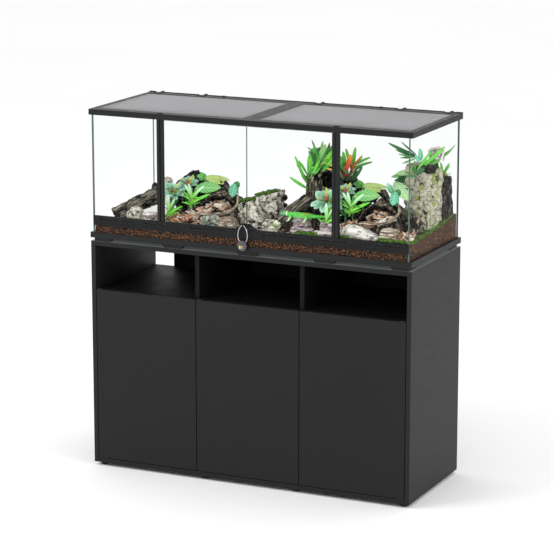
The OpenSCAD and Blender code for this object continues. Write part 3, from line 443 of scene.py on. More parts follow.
log_bark = bark_finish("log_bark", (0.012, 0.010, 0.008), (0.11, 0.092, 0.070), (0.44, 0.39, 0.31), (110, 110, 14))
stump_bark = bark_finish("stump_bark", (0.003, 0.002, 0.002), (0.035, 0.026, 0.019), (0.22, 0.185, 0.13),
                         (80, 80, 14))
hide_bark = bark_finish("hide_bark", (0.004, 0.003, 0.002), (0.070, 0.050, 0.034), (0.42, 0.34, 0.25), (60, 60, 16))
lip_bark = bark_finish("lip_bark", (0.06, 0.038, 0.024), (0.38, 0.28, 0.19), (0.78, 0.69, 0.56), (120, 120, 16),
                       hollows=(0.2, 0.35))
root_bark = bark_finish("root_bark", (0.012, 0.009, 0.006), (0.15, 0.115, 0.08), (0.46, 0.39, 0.28), (120, 120, 30))
dark_bark = bark_finish("dark_bark", (0.002, 0.002, 0.001), (0.018, 0.015, 0.012), (0.14, 0.118, 0.095), (60, 60, 18))
black_rock = bark_finish("black_rock", (0.002, 0.002, 0.002), (0.016, 0.016, 0.018), (0.20, 0.20, 0.215),
                         (80, 80, 80),
                         hollows=(0.40, 0.55))
striped_stone = stone_finish("striped_stone", (0.70, 0.62, 0.60), (0.15, 0.09, 0.085), (12, 12, 110))
purple_stone = stone_finish("purple_stone", (0.56, 0.47, 0.48), (0.10, 0.06, 0.065), (12, 12, 110))
# near-black finish for the lump in the stump's mouth: painted shade
deep_shade = moulded("hollow_painted_shade", (0.0015, 0.0012, 0.001), 0.9, 0.0)
green_stone = stone_finish("green_stone", (0.44, 0.46, 0.38), (0.07, 0.075, 0.055), (60, 60, 90), (20, 40, 0))
cream_stone = stone_finish("cream_stone", (0.86, 0.83, 0.77), (0.50, 0.44, 0.37), (10, 10, 90), (0, 9, 0), 0.4)

board_nodes = {"cabinet_base": charcoal, "cabinet_top": charcoal_top, "cabinet_sides": charcoal_side_lit,
               "left_cabinet_door": charcoal, "middle_cabinet_door": charcoal, "right_cabinet_door": charcoal,
               "cabinet_dividers": niche_shaded, "niche_shelves": niche_shaded, "cabinet_back": back_board}
glass_nodes = {"floor_pane": glass_z, "back_pane": glass_y, "side_panes": glass_x, "lower_front_pane": glass_y,
               "front_lights": glass_y, "left_glass_door": glass_y, "right_glass_door": glass_y}
plastic_nodes = ["tank_base_frame", "front_posts", "top_frame", "lid_ledges", "left_hinge_strip", "right_hinge_strip",
                 "left_lock_tab", "right_lock_tab", "left_lid_frame", "right_lid_frame", "left_lid_catch",
                 "right_lid_catch", "magnet_catches", *[f"cable_gate_{k}" for k in range(1, 6)]]
other_nodes = {"cabinet_feet": foot_plastic, "vent_rail": rail_plastic, "pivot_plates": zinc,
               "left_door_fittings": zinc,
               "middle_door_fittings": zinc, "right_door_fittings": zinc, "vent_mesh": stainless_mesh,
               "shackle": polished_wire, "lock_body": lock_casting, "dial_1": dial_yellow, "dial_2": dial_white,
               "dial_3": dial_grey}
for node, material in {**board_nodes, **glass_nodes, **dict.fromkeys(plastic_nodes, black_plastic),
                       **other_nodes}.items():
    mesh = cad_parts[node].data
    mesh.materials.clear()
    mesh.materials.append(material)

# ---------------------------------------------------------------- lid meshes

WIRE = 0.0005
PITCH = 0.0018
WEAVE = 0.0002


def wire_mesh(side):
    """Welded wire cloth in a lid's rebate: one wire each way, repeated across."""
    low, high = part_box(f"{side}_lid_mesh")
    sizes = high[0] - low[0], high[1] - low[1]
    sheets = []
    for axis in (0, 1):
        at = [(low[0] + high[0]) / 2, (low[1] + high[1]) / 2, (low[2] + high[2]) / 2 + (WEAVE if axis else -WEAVE)]
        at[axis] = low[axis] + WIRE / 2
        size = [WIRE, WIRE, WIRE * 0.5]
        size[1 - axis] = sizes[1 - axis]
        deselect()
        bpy.ops.mesh.primitive_cube_add(size=1, location=at, scale=size)
        wire = settle(added(f"{side}_wire_{axis}"))
        row = wire.modifiers.new("row", "ARRAY")
        row.use_relative_offset = False
        row.use_constant_offset = True
        row.constant_offset_displace = [PITCH if k == axis else 0 for k in range(3)]
        row.count = int((sizes[axis] - WIRE) / PITCH) + 1
        sheets.append(finish_modifiers(wire))
    fit(joined(f"{side}_wire_cloth", sheets), stainless_mesh, [f"{side}_lid_mesh"],
        f"{side}_lid")


wire_mesh("left")
wire_mesh("right")

# ---------------------------------------------------------------- figures on the lock's wheels


def wheel_figures(k):
    """The figures 0 to 9, one on each flat of a number wheel."""
    low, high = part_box(f"dial_{k}")
    middle = (Vector(low) + Vector(high)) / 2
    reach = (high[2] - low[2]) / 2 * 0.955
    cut = []
    for figure in range(10):
        deselect()
        bpy.ops.object.text_add(location=(0, 0, 0))
        word = bpy.context.active_object
        word.data.body = str(figure)
        word.data.size = 0.0036
        word.data.extrude = 0.00012
        word.data.align_x = "CENTER"
        word.data.align_y = "CENTER"
        word.data.resolution_u = 4
        bpy.ops.object.convert(target="MESH")
        mark = added(f"figure_{k}_{figure}")
        mark.data.transform(Matrix.Translation(middle) @ Matrix.Rotation(math.radians(36 * figure), 4, "X")
                            @ Matrix.Translation((0, -reach, 0)) @ Matrix.Rotation(math.pi / 2, 4, "X"))
        cut.append(mark)
    fit(joined(f"wheel_{k}_figures", cut), figure_ink, body=f"dial_{k}")


for wheel in (1, 2, 3):
    wheel_figures(wheel)


def shackle_loop():
    """The padlock's wire bent into one smooth narrow oval: a rod whose rings follow the bends."""
    low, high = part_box("shackle")
    x0, y0 = (low[0] + high[0]) / 2, (low[1] + high[1]) / 2
    r, top, foot = (high[1] - low[1]) / 2, high[2], low[2]
    wide = (high[0] - low[0]) / 2 - r - 0.0001
    leg, shoulder = 0.0113, foot + 0.012
    way = [(leg, foot), (leg, shoulder)]
    middle = shoulder + 0.34 * (top - r - shoulder)
    for k in range(1, 60):
        a = math.pi * k / 59
        z = shoulder + (top - r - shoulder) * (1 - math.cos(a)) / 2
        t = (z - middle) / ((top - r - middle) if z > middle else (middle - shoulder))
        reach = wide * (1 - abs(t) ** 2.2) ** 0.62 if z > middle else leg + (wide - leg) * (1 - t * t) ** 0.7
        way.append((reach, z))
    way[-1] = (0.0, top - r)
    points = [Vector((x0 + x, y0, z)) for x, z in way] + [Vector((x0 - x, y0, z)) for x, z in reversed(way[:-1])]
    deselect()
    bpy.ops.mesh.primitive_cylinder_add(vertices=20, radius=1, depth=1, end_fill_type="NGON", location=(0, 0, 0))
    loop = added("shackle_loop")
    mesh = loop.data
    mode("EDIT", "DESELECT")
    bpy.ops.mesh.select_mode(type="EDGE")
    mode("OBJECT")
    for e in mesh.edges:
        a, b = (mesh.vertices[k].co for k in e.vertices)
        e.select = abs(a.z - b.z) > 0.9
    mode("EDIT")
    bpy.ops.mesh.subdivide(number_cuts=240)
    mode("OBJECT")
    spans = len(points) - 1
    for v in mesh.vertices:
        at = (v.co.z + 0.5) * spans
        i = min(spans - 1, max(0, int(at)))
        centre = points[i].lerp(points[i + 1], at - i)
        ahead = (points[min(spans, i + 2)] - points[max(0, i - 1)]).normalized()
        side = Vector((0, 1, 0))
        v.co = centre + (side * v.co.x + ahead.cross(side) * v.co.y) * r
    mesh.update()
    face_outwards()
    smooth(loop, 60)
    fit(loop, polished_wire, ["shackle"], "padlock_shackle")


shackle_loop()


def rough_move(obj, depth, grain, stretch=(1, 1, 1), seed=0.0, crack=0.0, crack_grain=30.0):
    """Works a surface in and out along its normals, and cuts cracks into it."""
    mesh = obj.data
    moves = []
    for v in mesh.vertices:
        p = Vector((v.co.x * stretch[0], v.co.y * stretch[1],
                    v.co.z * stretch[2])) + Vector((seed * 3.1, seed, -seed))
        p += noise.noise_vector(p * grain * 0.7) * (0.35 / grain)
        out = noise.fractal(p * grain, 1.0, 2.0, 4) * depth
        if crack:
            near, _ = noise.voronoi(p * crack_grain)
            here = soften(-0.25, 0.15, noise.noise(p * crack_grain * 0.35))
            out -= crack * here * (1 - min(1.0, (near[1] - near[0]) / 0.22))
        moves.append((out, v.normal * out))
    # how far each corner moves is kept, for the finishes to paint shade into the hollows
    layer = mesh.attributes.get("relief") or mesh.attributes.new("relief", "FLOAT", "POINT")
    most = max(1e-6, depth + 0.5 * crack)
    for v, (out, m), item in zip(mesh.vertices, moves, layer.data):
        item.value = 0.6 * item.value + 0.8 * out / most
        v.co += m
    mesh.update()


# ---------------------------------------------------------------- ground

IN_X, IN_Y, FLOOR = 0.585, 0.2195, 0.835


def ground(x, y):
    """Height of the soil."""
    across = soften(0.110, 0.230, x + IN_X)
    rise = soften(-0.330, 0.270, x)
    return (FLOOR + 0.058 - 0.020 * (1 - across)
            + 0.033 * rise * max(0.0, (y + IN_Y) / (2 * IN_Y)) ** 2.1)


def damp(x, y):
    """1 where the ground is dark soil under the plantings and painted shade behind them, 0 where it is dry sand."""
    here = soften(0.470, 0.500, x)
    # each ellipse is dark soil under a planting, partly painted shade; the two at y 0.050 are painted shade behind
    # the plants by the crags
    for at_x, at_y, a, b in ((-0.235, -0.100, 0.190, 0.125), (0.365, -0.090, 0.205, 0.125),
                             (0.160, -0.090, 0.110, 0.110),
                            (-0.300, 0.050, 0.120, 0.090), (0.300, 0.050, 0.130, 0.090)):
        here = max(here, soften(1.12, 0.88, math.hypot((x - at_x) / a, (y - at_y) / b)))
    return here


def soil_bed():
    """Uneven soil: a grid laid over the ground, closed down to the floor pane."""
    deselect()
    bpy.ops.mesh.primitive_grid_add(x_subdivisions=230, y_subdivisions=86, size=1, location=(0, 0.00175, 0.88))
    bed = added("soil_bed")
    bed.scale = (1.1688, 0.4345, 1)
    settle(bed)
    mode("EDIT", "SELECT")
    bpy.ops.mesh.extrude_region_move(TRANSFORM_OT_translate={"value": (0, 0, -0.03)})
    mode("OBJECT")
    for v in bed.data.vertices:
        x, y, z = v.co
        if z < 0.865:
            v.co.z = FLOOR + 0.0005
        else:
            inside = min(1, (0.583 - abs(x)) / 0.02, (0.2180 - abs(y - 0.00175)) / 0.02)
            lump = noise.noise((x * 34, y * 34, 1.7)) * 0.005 + noise.noise((x * 120, y * 120, 5.1)) * 0.0022
            v.co.z = ground(x, y) + lump * max(0.15, inside)
    face_outwards()
    deselect()
    bpy.ops.mesh.primitive_cube_add(size=1, location=(0, -0.2172, 0.8514), scale=(1.1686, 0.0036, 0.0322))
    front = settle(added("soil_front"))
    for part in (bed, front):
        layer = part.data.attributes.new("damp", "FLOAT", "POINT")
        for v, item in zip(part.data.vertices, layer.data):
            low = v.co.z < 0.866 or abs(v.co.x) > 0.5835 or abs(v.co.y) > 0.2155
            item.value = 1.0 if low else damp(v.co.x, v.co.y)
    smooth(bed, 60)
    fit(joined("soil_bed", [bed, front]), soil, ["substrate"])


soil_bed()


def tone_of(obj, value):
    """Marks every corner of a mesh with how dark this copy of a shape is."""
    layer = obj.data.attributes.get("tone") or obj.data.attributes.new("tone", "FLOAT", "POINT")
    for item in layer.data:
        item.value = value


def copy_of(obj, place, tone=None):
    """A copy of a modelled shape, with a mesh of its own, at another place."""
    twin = obj.copy()
    twin.data = obj.data.copy()
    bpy.context.collection.objects.link(twin)
    twin.data.transform(place)
    if tone is not None:
        tone_of(twin, tone)
    return twin


def scattered(name, shapes, spots, nodes=()):
    """Copies of a few small shapes, laid where spots says as (place, tone) and joined."""
    rng = random.Random(name)
    parts = [copy_of(rng.choice(shapes), place, tone) for place, tone in spots]
    fit(joined(name, parts), litter_brown, nodes)


def chip_shape(name, length, width, thick, seed):
    """A small broken chip."""
    deselect()
    bpy.ops.mesh.primitive_cylinder_add(vertices=6, radius=0.5, depth=1, location=(0, 0, 0))
    chip = added(name)
    rng = random.Random(seed)
    chip.scale = (length, width, thick)
    settle(chip)
    for v in chip.data.vertices:
        v.co = Vector((v.co.x * rng.uniform(0.7, 1.1), v.co.y * rng.uniform(0.6, 1.1),
                       v.co.z * rng.uniform(0.6, 1.3)))
    tone_of(chip, 0.0)
    return chip


def litter_finish():
    """Dry leaves and bark chips, each of its own tone; the darkest tones stand partly for painted shade between and
    under the leaves.
    """
    f = Finish("dry_litter", roughness=0.75, specular=0.25)
    tone = f.attribute("tone")
    # near black to dark brown at the low end: partly painted shade between the leaves
    base = f.ramp(tone, (0.0, (0.006, 0.004, 0.003)), (0.14, (0.020, 0.011, 0.007)), (0.26, (0.22, 0.085, 0.040)),
                  (0.45, (0.60, 0.27, 0.14)), (0.62, (0.74, 0.50, 0.36)), (0.80, (0.80, 0.72, 0.58)),
                  (1.0, (0.90, 0.88, 0.83)))
    speckle = f.clouds(f.place(), 300, 3)
    f.colour(f.mix(f.ramp(speckle, (0.5, 0.0), (0.75, 0.45)), base, (0.05, 0.03, 0.02)))
    f.bump(speckle, 0.4, 0.0006)
    return f.material


litter_brown = litter_finish()


def lying(x, y, z, rng, tilt=0.5, size=(0.7, 1.5)):
    s = rng.uniform(*size)
    return (Matrix.Translation((x, y, z)) @ Matrix.Rotation(rng.uniform(0, 6.28), 4, "Z")
            @ Matrix.Rotation(rng.uniform(-tilt, tilt), 4, "X") @ Matrix.Rotation(rng.uniform(-tilt, tilt), 4, "Y")
            @ Matrix.Scale(s, 4))


def dry_leaf(name, length, width, curl):
    """A dry leaf: a little grid narrowed to both ends and curled."""
    deselect()
    bpy.ops.mesh.primitive_grid_add(x_subdivisions=5, y_subdivisions=2, size=1, location=(0, 0, 0))
    leaf = added(name)
    for v in leaf.data.vertices:
        t = v.co.x + 0.5
        v.co.y *= 2 * width * math.sin(math.pi * (0.06 + 0.88 * t)) ** 0.8
        v.co.x = (t - 0.5) * length
        v.co.z = curl * ((2 * t - 1) ** 2 + 3 * (v.co.y / length) ** 2)
    wall = leaf.modifiers.new("wall", "SOLIDIFY")
    wall.thickness = 0.0005
    finish_modifiers(leaf)
    tone_of(leaf, 0.0)
    return leaf


small_chips = [chip_shape(f"chip_{k}", 0.009 + 0.002 * k, 0.005, 0.0022, k) for k in range(4)]
dry_leaves = [dry_leaf(f"dry_leaf_{k}", 0.030 + 0.005 * k, 0.0055 + 0.002 * k, 0.008 - 0.004 * k) for k in range(4)]


# Each heap of litter: its middle, its half width and depth, and its height.
HEAPS = [(-0.160, -0.108, 0.060, 0.046, 0.066), (-0.222, -0.138, 0.044, 0.034, 0.044),
         (0.376, -0.138, 0.042, 0.032, 0.040), (-0.235, -0.160, 0.098, 0.040, 0.020),
         (-0.110, -0.160, 0.050, 0.030, 0.016), (0.438, -0.108, 0.060, 0.046, 0.076),
         (0.365, -0.135, 0.080, 0.036, 0.040), (0.520, -0.150, 0.060, 0.040, 0.022)]


def litter():
    """Dry leaves heaped in the hides and in front of them, and chips over the planted ground."""
    rng = random.Random(4)
    spots, cores = [], []
    for k, (x, y, a, b, h) in enumerate(HEAPS):
        deselect()
        bpy.ops.mesh.primitive_ico_sphere_add(subdivisions=4, radius=1, location=(x, y, ground(x, y) - 0.004),
                                              scale=(a * 0.96, b * 0.96, h))
        core = settle(added(f"litter_core_{k}"))
        rough_move(core, 0.003, 60.0, seed=k)
        # the heap's core is near black: painted shade in the depth of the heap
        tone_of(core, 0.10)
        cores.append(core)
        for _ in range(int(34000 * a * b) + 30):
            r, t = math.sqrt(rng.random()), rng.uniform(0, 6.28)
            px, py = x + a * r * math.cos(t), y + b * r * math.sin(t)
            if abs(px) < 0.572 and -0.206 < py:
                rise = h * math.sqrt(max(0.0, 1 - r ** 2)) - 0.002 + rng.uniform(0, 0.005)
                spots.append((lying(px, py, ground(px, py) + rise, rng, 0.8, (0.6, 1.15)), rng.random() ** 0.7))
    scattered("leaf_litter_heaps", dry_leaves, spots, ["leaf_litter"])
    inside_tank(fit(joined("litter_cores", cores), litter_brown, ["leaf_litter"]))
    spots = []
    while len(spots) < 620:
        px, py = rng.uniform(-0.42, 0.57), rng.uniform(-0.205, 0.19)
        if damp(px, py) > 0.6:
            spots.append((lying(px, py, ground(px, py) + 0.003, rng, 0.5), rng.random() ** 1.3))
    scattered("soil_chips", small_chips, spots)


litter()

# ---------------------------------------------------------------- stones, moss and rocks


def mark_straight(obj, spots=None):
    """Keeps where each corner of a piece was before it was bent, so that its grain can follow it."""
    layer = obj.data.attributes.new("straight", "FLOAT_VECTOR", "POINT")
    for k, item in enumerate(layer.data):
        item.vector = spots[k] if spots else obj.data.vertices[k].co


def lump(name, at, size, seed=1, squareness=0.0, depth=0.004, grain=22.0, levels=5, **cuts):
    """A rounded stone or block: a ball cast towards a box, then worked rough."""
    deselect()
    bpy.ops.mesh.primitive_ico_sphere_add(subdivisions=levels, radius=0.5, location=(0, 0, 0))
    body = added(name)
    for v in body.data.vertices:
        n = v.co.normalized()
        reach = max(abs(n.x), abs(n.y), abs(n.z))
        v.co = n * 0.5 * ((1 - squareness) + squareness / reach)
    body.scale = size
    body.location = at
    settle(body)
    mark_straight(body)
    rough_move(body, depth, grain, seed=seed, **cuts)
    return smooth(body, 70)


def stones():
    layout = [
        ("striped_stone_upper", (-0.385, -0.186, 0.915), (0.060, 0.042, 0.019), striped_stone, 1),
        ("striped_stone_lower", (-0.377, -0.190, 0.8935), (0.078, 0.042, 0.025), striped_stone, 2),
        ("grey_green_stone", (-0.152, -0.187, 0.9055), (0.078, 0.042, 0.056), green_stone, 3),
        ("purple_stone_upper", (0.186, -0.178, 0.930), (0.064, 0.046, 0.024), purple_stone, 4),
        ("purple_stone_lower", (0.188, -0.184, 0.9045), (0.090, 0.044, 0.029), purple_stone, 5),
        ("purple_stone_tall", (0.274, -0.151, 0.9175), (0.066, 0.054, 0.058), purple_stone, 6),
        ("flat_front_stone", (0.280, -0.197, 0.9055), (0.094, 0.026, 0.019), striped_stone, 7),
        ("cream_slab", (0.404, -0.172, 0.9155), (0.152, 0.060, 0.046), cream_stone, 8),
    ]
    for name, at, size, material, seed in layout:
        rough = 0.007 if name in ("grey_green_stone", "cream_slab") else 0.003
        stone = lump(name, at, size, seed, 0.35, rough, 30.0, 5, crack=rough * 0.4, crack_grain=40.0)
        if name == "cream_slab":
            for v in stone.data.vertices:
                v.co.z = 0.893 + (v.co.z - 0.893) * (1.06 - 0.62 * soften(0.36, 0.478, v.co.x)
                                                     - 0.35 * soften(0.345, 0.325, v.co.x))
        rough_move(stone, 0.0015, 110.0, seed=seed)
        fit(stone, material, ["flat_stones"])
    for side, at in (("left", (-0.092, -0.182, 0.904)), ("right", (0.500, -0.176, 0.914))):
        slab = lump(side + "_ribbed_bark", at, (0.064, 0.044, 0.052), 6, 0.5, 0.004, 40.0, 5)
        layer = slab.data.attributes["straight"]
        for v, item in zip(slab.data.vertices, layer.data):
            item.vector = (v.co.z, v.co.y, v.co.x)
        fit(slab, lip_bark, ["bark_hides"])


def moss_beds():
    beds = [("front_moss", (0.218, -0.2045, 0.899), (0.104, 0.020, 0.022)),
            ("stone_moss", (0.350, -0.2045, 0.899), (0.034, 0.020, 0.022)),
            ("slab_moss", (0.500, -0.2045, 0.900), (0.066, 0.020, 0.022)),
            ("corner_moss", (0.553, -0.2045, 0.900), (0.046, 0.020, 0.022))]
    for k in range(6):
        y = -0.150 + 0.066 * k
        beds.append((f"edge_moss_{k + 1}", (0.572, y, ground(0.585, y)), (0.022, 0.070, 0.020)))
    for name, at, size in beds:
        bed = lump(name, at, size, len(name), 0.3, 0.004, 60.0, 5)
        rough_move(bed, 0.0025, 260.0)
        inside_tank(fit(bed, moss_green, ["moss"]), wall=0.583)


def crag(name, at, size, seed, outline):
    """A ragged black rock. Its outline is the height of its top at places along X."""
    rock = lump(name, at, size, seed, 0.3, 0.009, 18.0, 6, crack=0.002, crack_grain=40.0)
    top, low = at[2] + size[2] / 2, at[2]
    for v in rock.data.vertices:
        want = outline[0][1] if v.co.x < outline[0][0] else outline[-1][1]
        for (x0, z0), (x1, z1) in zip(outline, outline[1:]):
            if x0 <= v.co.x <= x1:
                want = z0 + (z1 - z0) * (v.co.x - x0) / (x1 - x0)
        want += 0.007 * noise.noise((v.co.x * 90 + seed, v.co.y * 60, 0.0))
        if v.co.z > low:
            v.co.z = low + (v.co.z - low) * (want - low) / (top - low)
    rock.data.update()
    rough_move(rock, 0.005, 85.0, seed=seed, crack=0.004, crack_grain=70.0)
    fit(rock, black_rock, ["dark_rocks"])


stones()
moss_beds()
crag("left_crag", (-0.342, 0.062, 0.950), (0.156, 0.092, 0.150), 4.2,
     [(-0.422, 0.985), (-0.400, 1.002), (-0.385, 1.014), (-0.366, 1.022), (-0.352, 1.031), (-0.326, 1.029),
      (-0.312, 1.012),
      (-0.297, 1.004), (-0.266, 0.990)])
crag("right_crag", (0.272, 0.062, 0.962), (0.116, 0.088, 0.172), 6.7,
     [(0.214, 1.066), (0.230, 1.080), (0.250, 1.070), (0.266, 1.058), (0.292, 1.026), (0.330, 1.000)])
for name, at, size, seed, bend, depth, grain, steps, crack, bark, node, slot in (
        ("cork_chunk", (-0.463, -0.150, 0.9035), (0.060, 0.044, 0.048), 4, 0.4, 0.005, 40.0, 5, 0.004, cork_grey,
         "cork_stump", "grey_cork"),
        ("crag_root", (0.228, 0.030, 1.030), (0.040, 0.044, 0.130), 3, 0.3, 0.006, 34.0, 5, 0.004, stump_bark,
         "dark_rocks", "dark_stone"),
        ("log_knob", (-0.449, -0.030, 0.9765), (0.026, 0.024, 0.038), 7, 0.1, 0.003, 50.0, 4, 0.003, dark_bark,
         "dark_rocks", "dark_stone"),
        ("pale_bark_bit", (-0.447, 0.058, 0.950), (0.044, 0.034, 0.104), 9, 0.3, 0.005, 40.0, 5, 0.003, pale_cork,
         "dark_rocks", "dark_stone")):
    fit(lump(name, at, size, seed, bend, depth, grain, steps, crack=crack), bark, [node])

# ---------------------------------------------------------------- wood


def trunk(name, path, radii, seed, rings=60, sides=48, depth=0.004, grain=30.0, crack=0.003, crack_grain=40.0,
          hollow=0.0, squash=1.0):
    """A log or stump: a cylinder whose rings are set along a path, with its ends hollowed and its skin cracked."""
    deselect()
    bpy.ops.mesh.primitive_cylinder_add(vertices=sides, radius=1, depth=1, end_fill_type="NGON", location=(0, 0, 0))
    log = added(name)
    mode("EDIT", "DESELECT")
    bpy.ops.mesh.select_mode(type="FACE")
    mode("OBJECT")
    for p in log.data.polygons:
        p.select = abs(p.normal.z) > 0.9
    mode("EDIT")
    bpy.ops.mesh.inset(thickness=0.16, use_individual=True)
    bpy.ops.mesh.inset(thickness=0.03, use_individual=True)
    if hollow:
        bpy.ops.mesh.extrude_region_shrink_fatten(TRANSFORM_OT_shrink_fatten={"value": -hollow})
    bpy.ops.mesh.poke()
    bpy.ops.mesh.select_all(action="DESELECT")
    mode("OBJECT")
    mesh = log.data
    for e in mesh.edges:
        a, b = (mesh.vertices[k].co for k in e.vertices)
        e.select = abs(a.z - b.z) > 0.9 and min((a.xy).length, (b.xy).length) > 0.99
    mode("EDIT")
    bpy.ops.mesh.select_mode(type="EDGE")
    bpy.ops.mesh.subdivide(number_cuts=rings)
    mode("OBJECT")
    points = [Vector(p) for p in path]
    spans = len(points) - 1
    whole = sum((b - a).length for a, b in zip(points, points[1:]))
    thick = sum(radii) / len(radii)
    mark_straight(log, [Vector((v.co.x * thick, v.co.y * thick, v.co.z * whole)) for v in mesh.vertices])
    for v in mesh.vertices:
        s = (v.co.z + 0.5) * spans
        i = min(spans - 1, max(0, int(s)))
        t = s - i
        before, after = points[max(0, i - 1)], points[min(spans, i + 2)]
        a, b = points[i], points[i + 1]
        centre = 0.5 * (2 * a + (b - before) * t + (2 * before - 5 * a + 4 * b - after) * t * t
                        + (3 * a - 3 * b + after - before) * t ** 3)
        ahead = ((b - before) * (1 - t) + (after - a) * t).normalized()
        side = ahead.cross(Vector((0, 0, 1)) if abs(ahead.z) < 0.9 else Vector((0, 1, 0))).normalized()
        up = side.cross(ahead)
        r = radii[i] + (radii[i + 1] - radii[i]) * min(1, max(0, t))
        v.co = centre + (side * v.co.x + up * v.co.y * squash) * r
    mesh.update()
    face_outwards()
    rough_move(log, depth, grain, seed=seed, crack=crack, crack_grain=crack_grain)
    return smooth(log, 60)


def logs():
    left = trunk("left_log", [(-0.541, -0.154, 0.893), (-0.499, -0.112, 0.9185), (-0.463, -0.076, 0.9405),
                              (-0.427, -0.036, 0.9595)], [0.027, 0.029, 0.029, 0.027], 2, depth=0.005, hollow=0.12)
    fit(left, log_bark, ["fallen_logs"])
    right = trunk("right_log", [(0.080, -0.144, 0.921), (0.108, -0.116, 0.9445), (0.132, -0.090, 0.9645),
                                (0.157, -0.063, 0.987)], [0.020, 0.024, 0.027, 0.027], 5, depth=0.005, hollow=0.12)
    fit(right, log_bark, ["fallen_logs"])


def hide(name, at, turn, radius, length):
    """Bark lying as a half tube: a cylinder without its lower half, given a wall and worked rough."""
    deselect()
    bpy.ops.mesh.primitive_cylinder_add(vertices=96, radius=radius - 0.0045, depth=length, end_fill_type="NOTHING",
                                        location=(0, 0, 0), rotation=(math.pi / 2, 0, 0))
    bark = settle(added(name))
    mode("EDIT", "SELECT")
    bpy.ops.mesh.subdivide(number_cuts=1)
    bpy.ops.mesh.select_all(action="DESELECT")
    mode("OBJECT")
    for e in bark.data.edges:
        a, b = (bark.data.vertices[k].co for k in e.vertices)
        e.select = abs(a.y - b.y) > length * 0.4
    mode("EDIT")
    bpy.ops.mesh.select_mode(type="EDGE")
    bpy.ops.mesh.subdivide(number_cuts=18)
    bpy.ops.mesh.select_all(action="SELECT")
    bpy.ops.mesh.bisect(plane_co=(0, 0, 0), plane_no=(0, 0, 1), clear_inner=True)
    mode("OBJECT")
    rng = random.Random(name)
    phases = [rng.uniform(0, 6) for _ in range(4)]
    for v in bark.data.vertices:
        a = math.atan2(v.co.z, v.co.x)
        edge = 0.010 * math.sin(5 * a + phases[0]) + 0.006 * math.sin(11 * a + phases[1])
        v.co.y += edge * abs(v.co.y) / (length / 2)
    wall = bark.modifiers.new("wall", "SOLIDIFY")
    wall.thickness = 0.008
    wall.offset = 0
    finish_modifiers(bark)
    face_outwards()
    bark.data.transform(Matrix.Diagonal((1, 1, 1.30, 1)))
    mark_straight(bark, [Vector((v.co.x, v.co.z, v.co.y)) for v in bark.data.vertices])
    rough_move(bark, 0.0045, 34.0, seed=len(name), crack=0.003, crack_grain=46.0)
    # the inside of the arch is marked as the deepest hollow, so it is painted as shade
    for v, item in zip(bark.data.vertices, bark.data.attributes["relief"].data):
        if math.hypot(v.co.x, v.co.z / 1.30) < radius - 0.006:
            item.value = -1.5
    bark.data.transform(Matrix.Translation(at) @ Matrix.Rotation(math.radians(turn), 4, "Z"))
    smooth(bark, 60)
    fit(bark, hide_bark, ["bark_hides"])
    # a dark bark plug at the back of the tube: painted shade inside the hide
    end = lump(name + "_end", (0, length * 0.36, 0), (1.84 * radius, 0.040, 2.42 * radius), 3, 0.0, 0.003, 30.0, 5)
    for v in end.data.vertices:
        v.co.z = max(v.co.z, -0.028)
    end.data.transform(Matrix.Translation(at) @ Matrix.Rotation(math.radians(turn), 4, "Z"))
    fit(end, dark_bark, ["bark_hides"])


def block_of_cork(name, at, size, seed, material, slope=0.0):
    """A squared-off lump of cork, folded in big lobes and then broken small."""
    piece = lump(name, at, size, seed, 0.66, 0.009, 16.0, 6, crack=0.012, crack_grain=19.0, stretch=(1, 1, 0.8))
    rough_move(piece, 0.0025, 70.0, seed=seed, crack=0.003, crack_grain=70.0, stretch=(1, 1, 1.6))
    for v in piece.data.vertices:
        v.co.z += (v.co.x - at[0]) * slope * soften(at[2], at[2] + size[2] / 2, v.co.z)
    return fit(piece, material, ["cork_stump"])


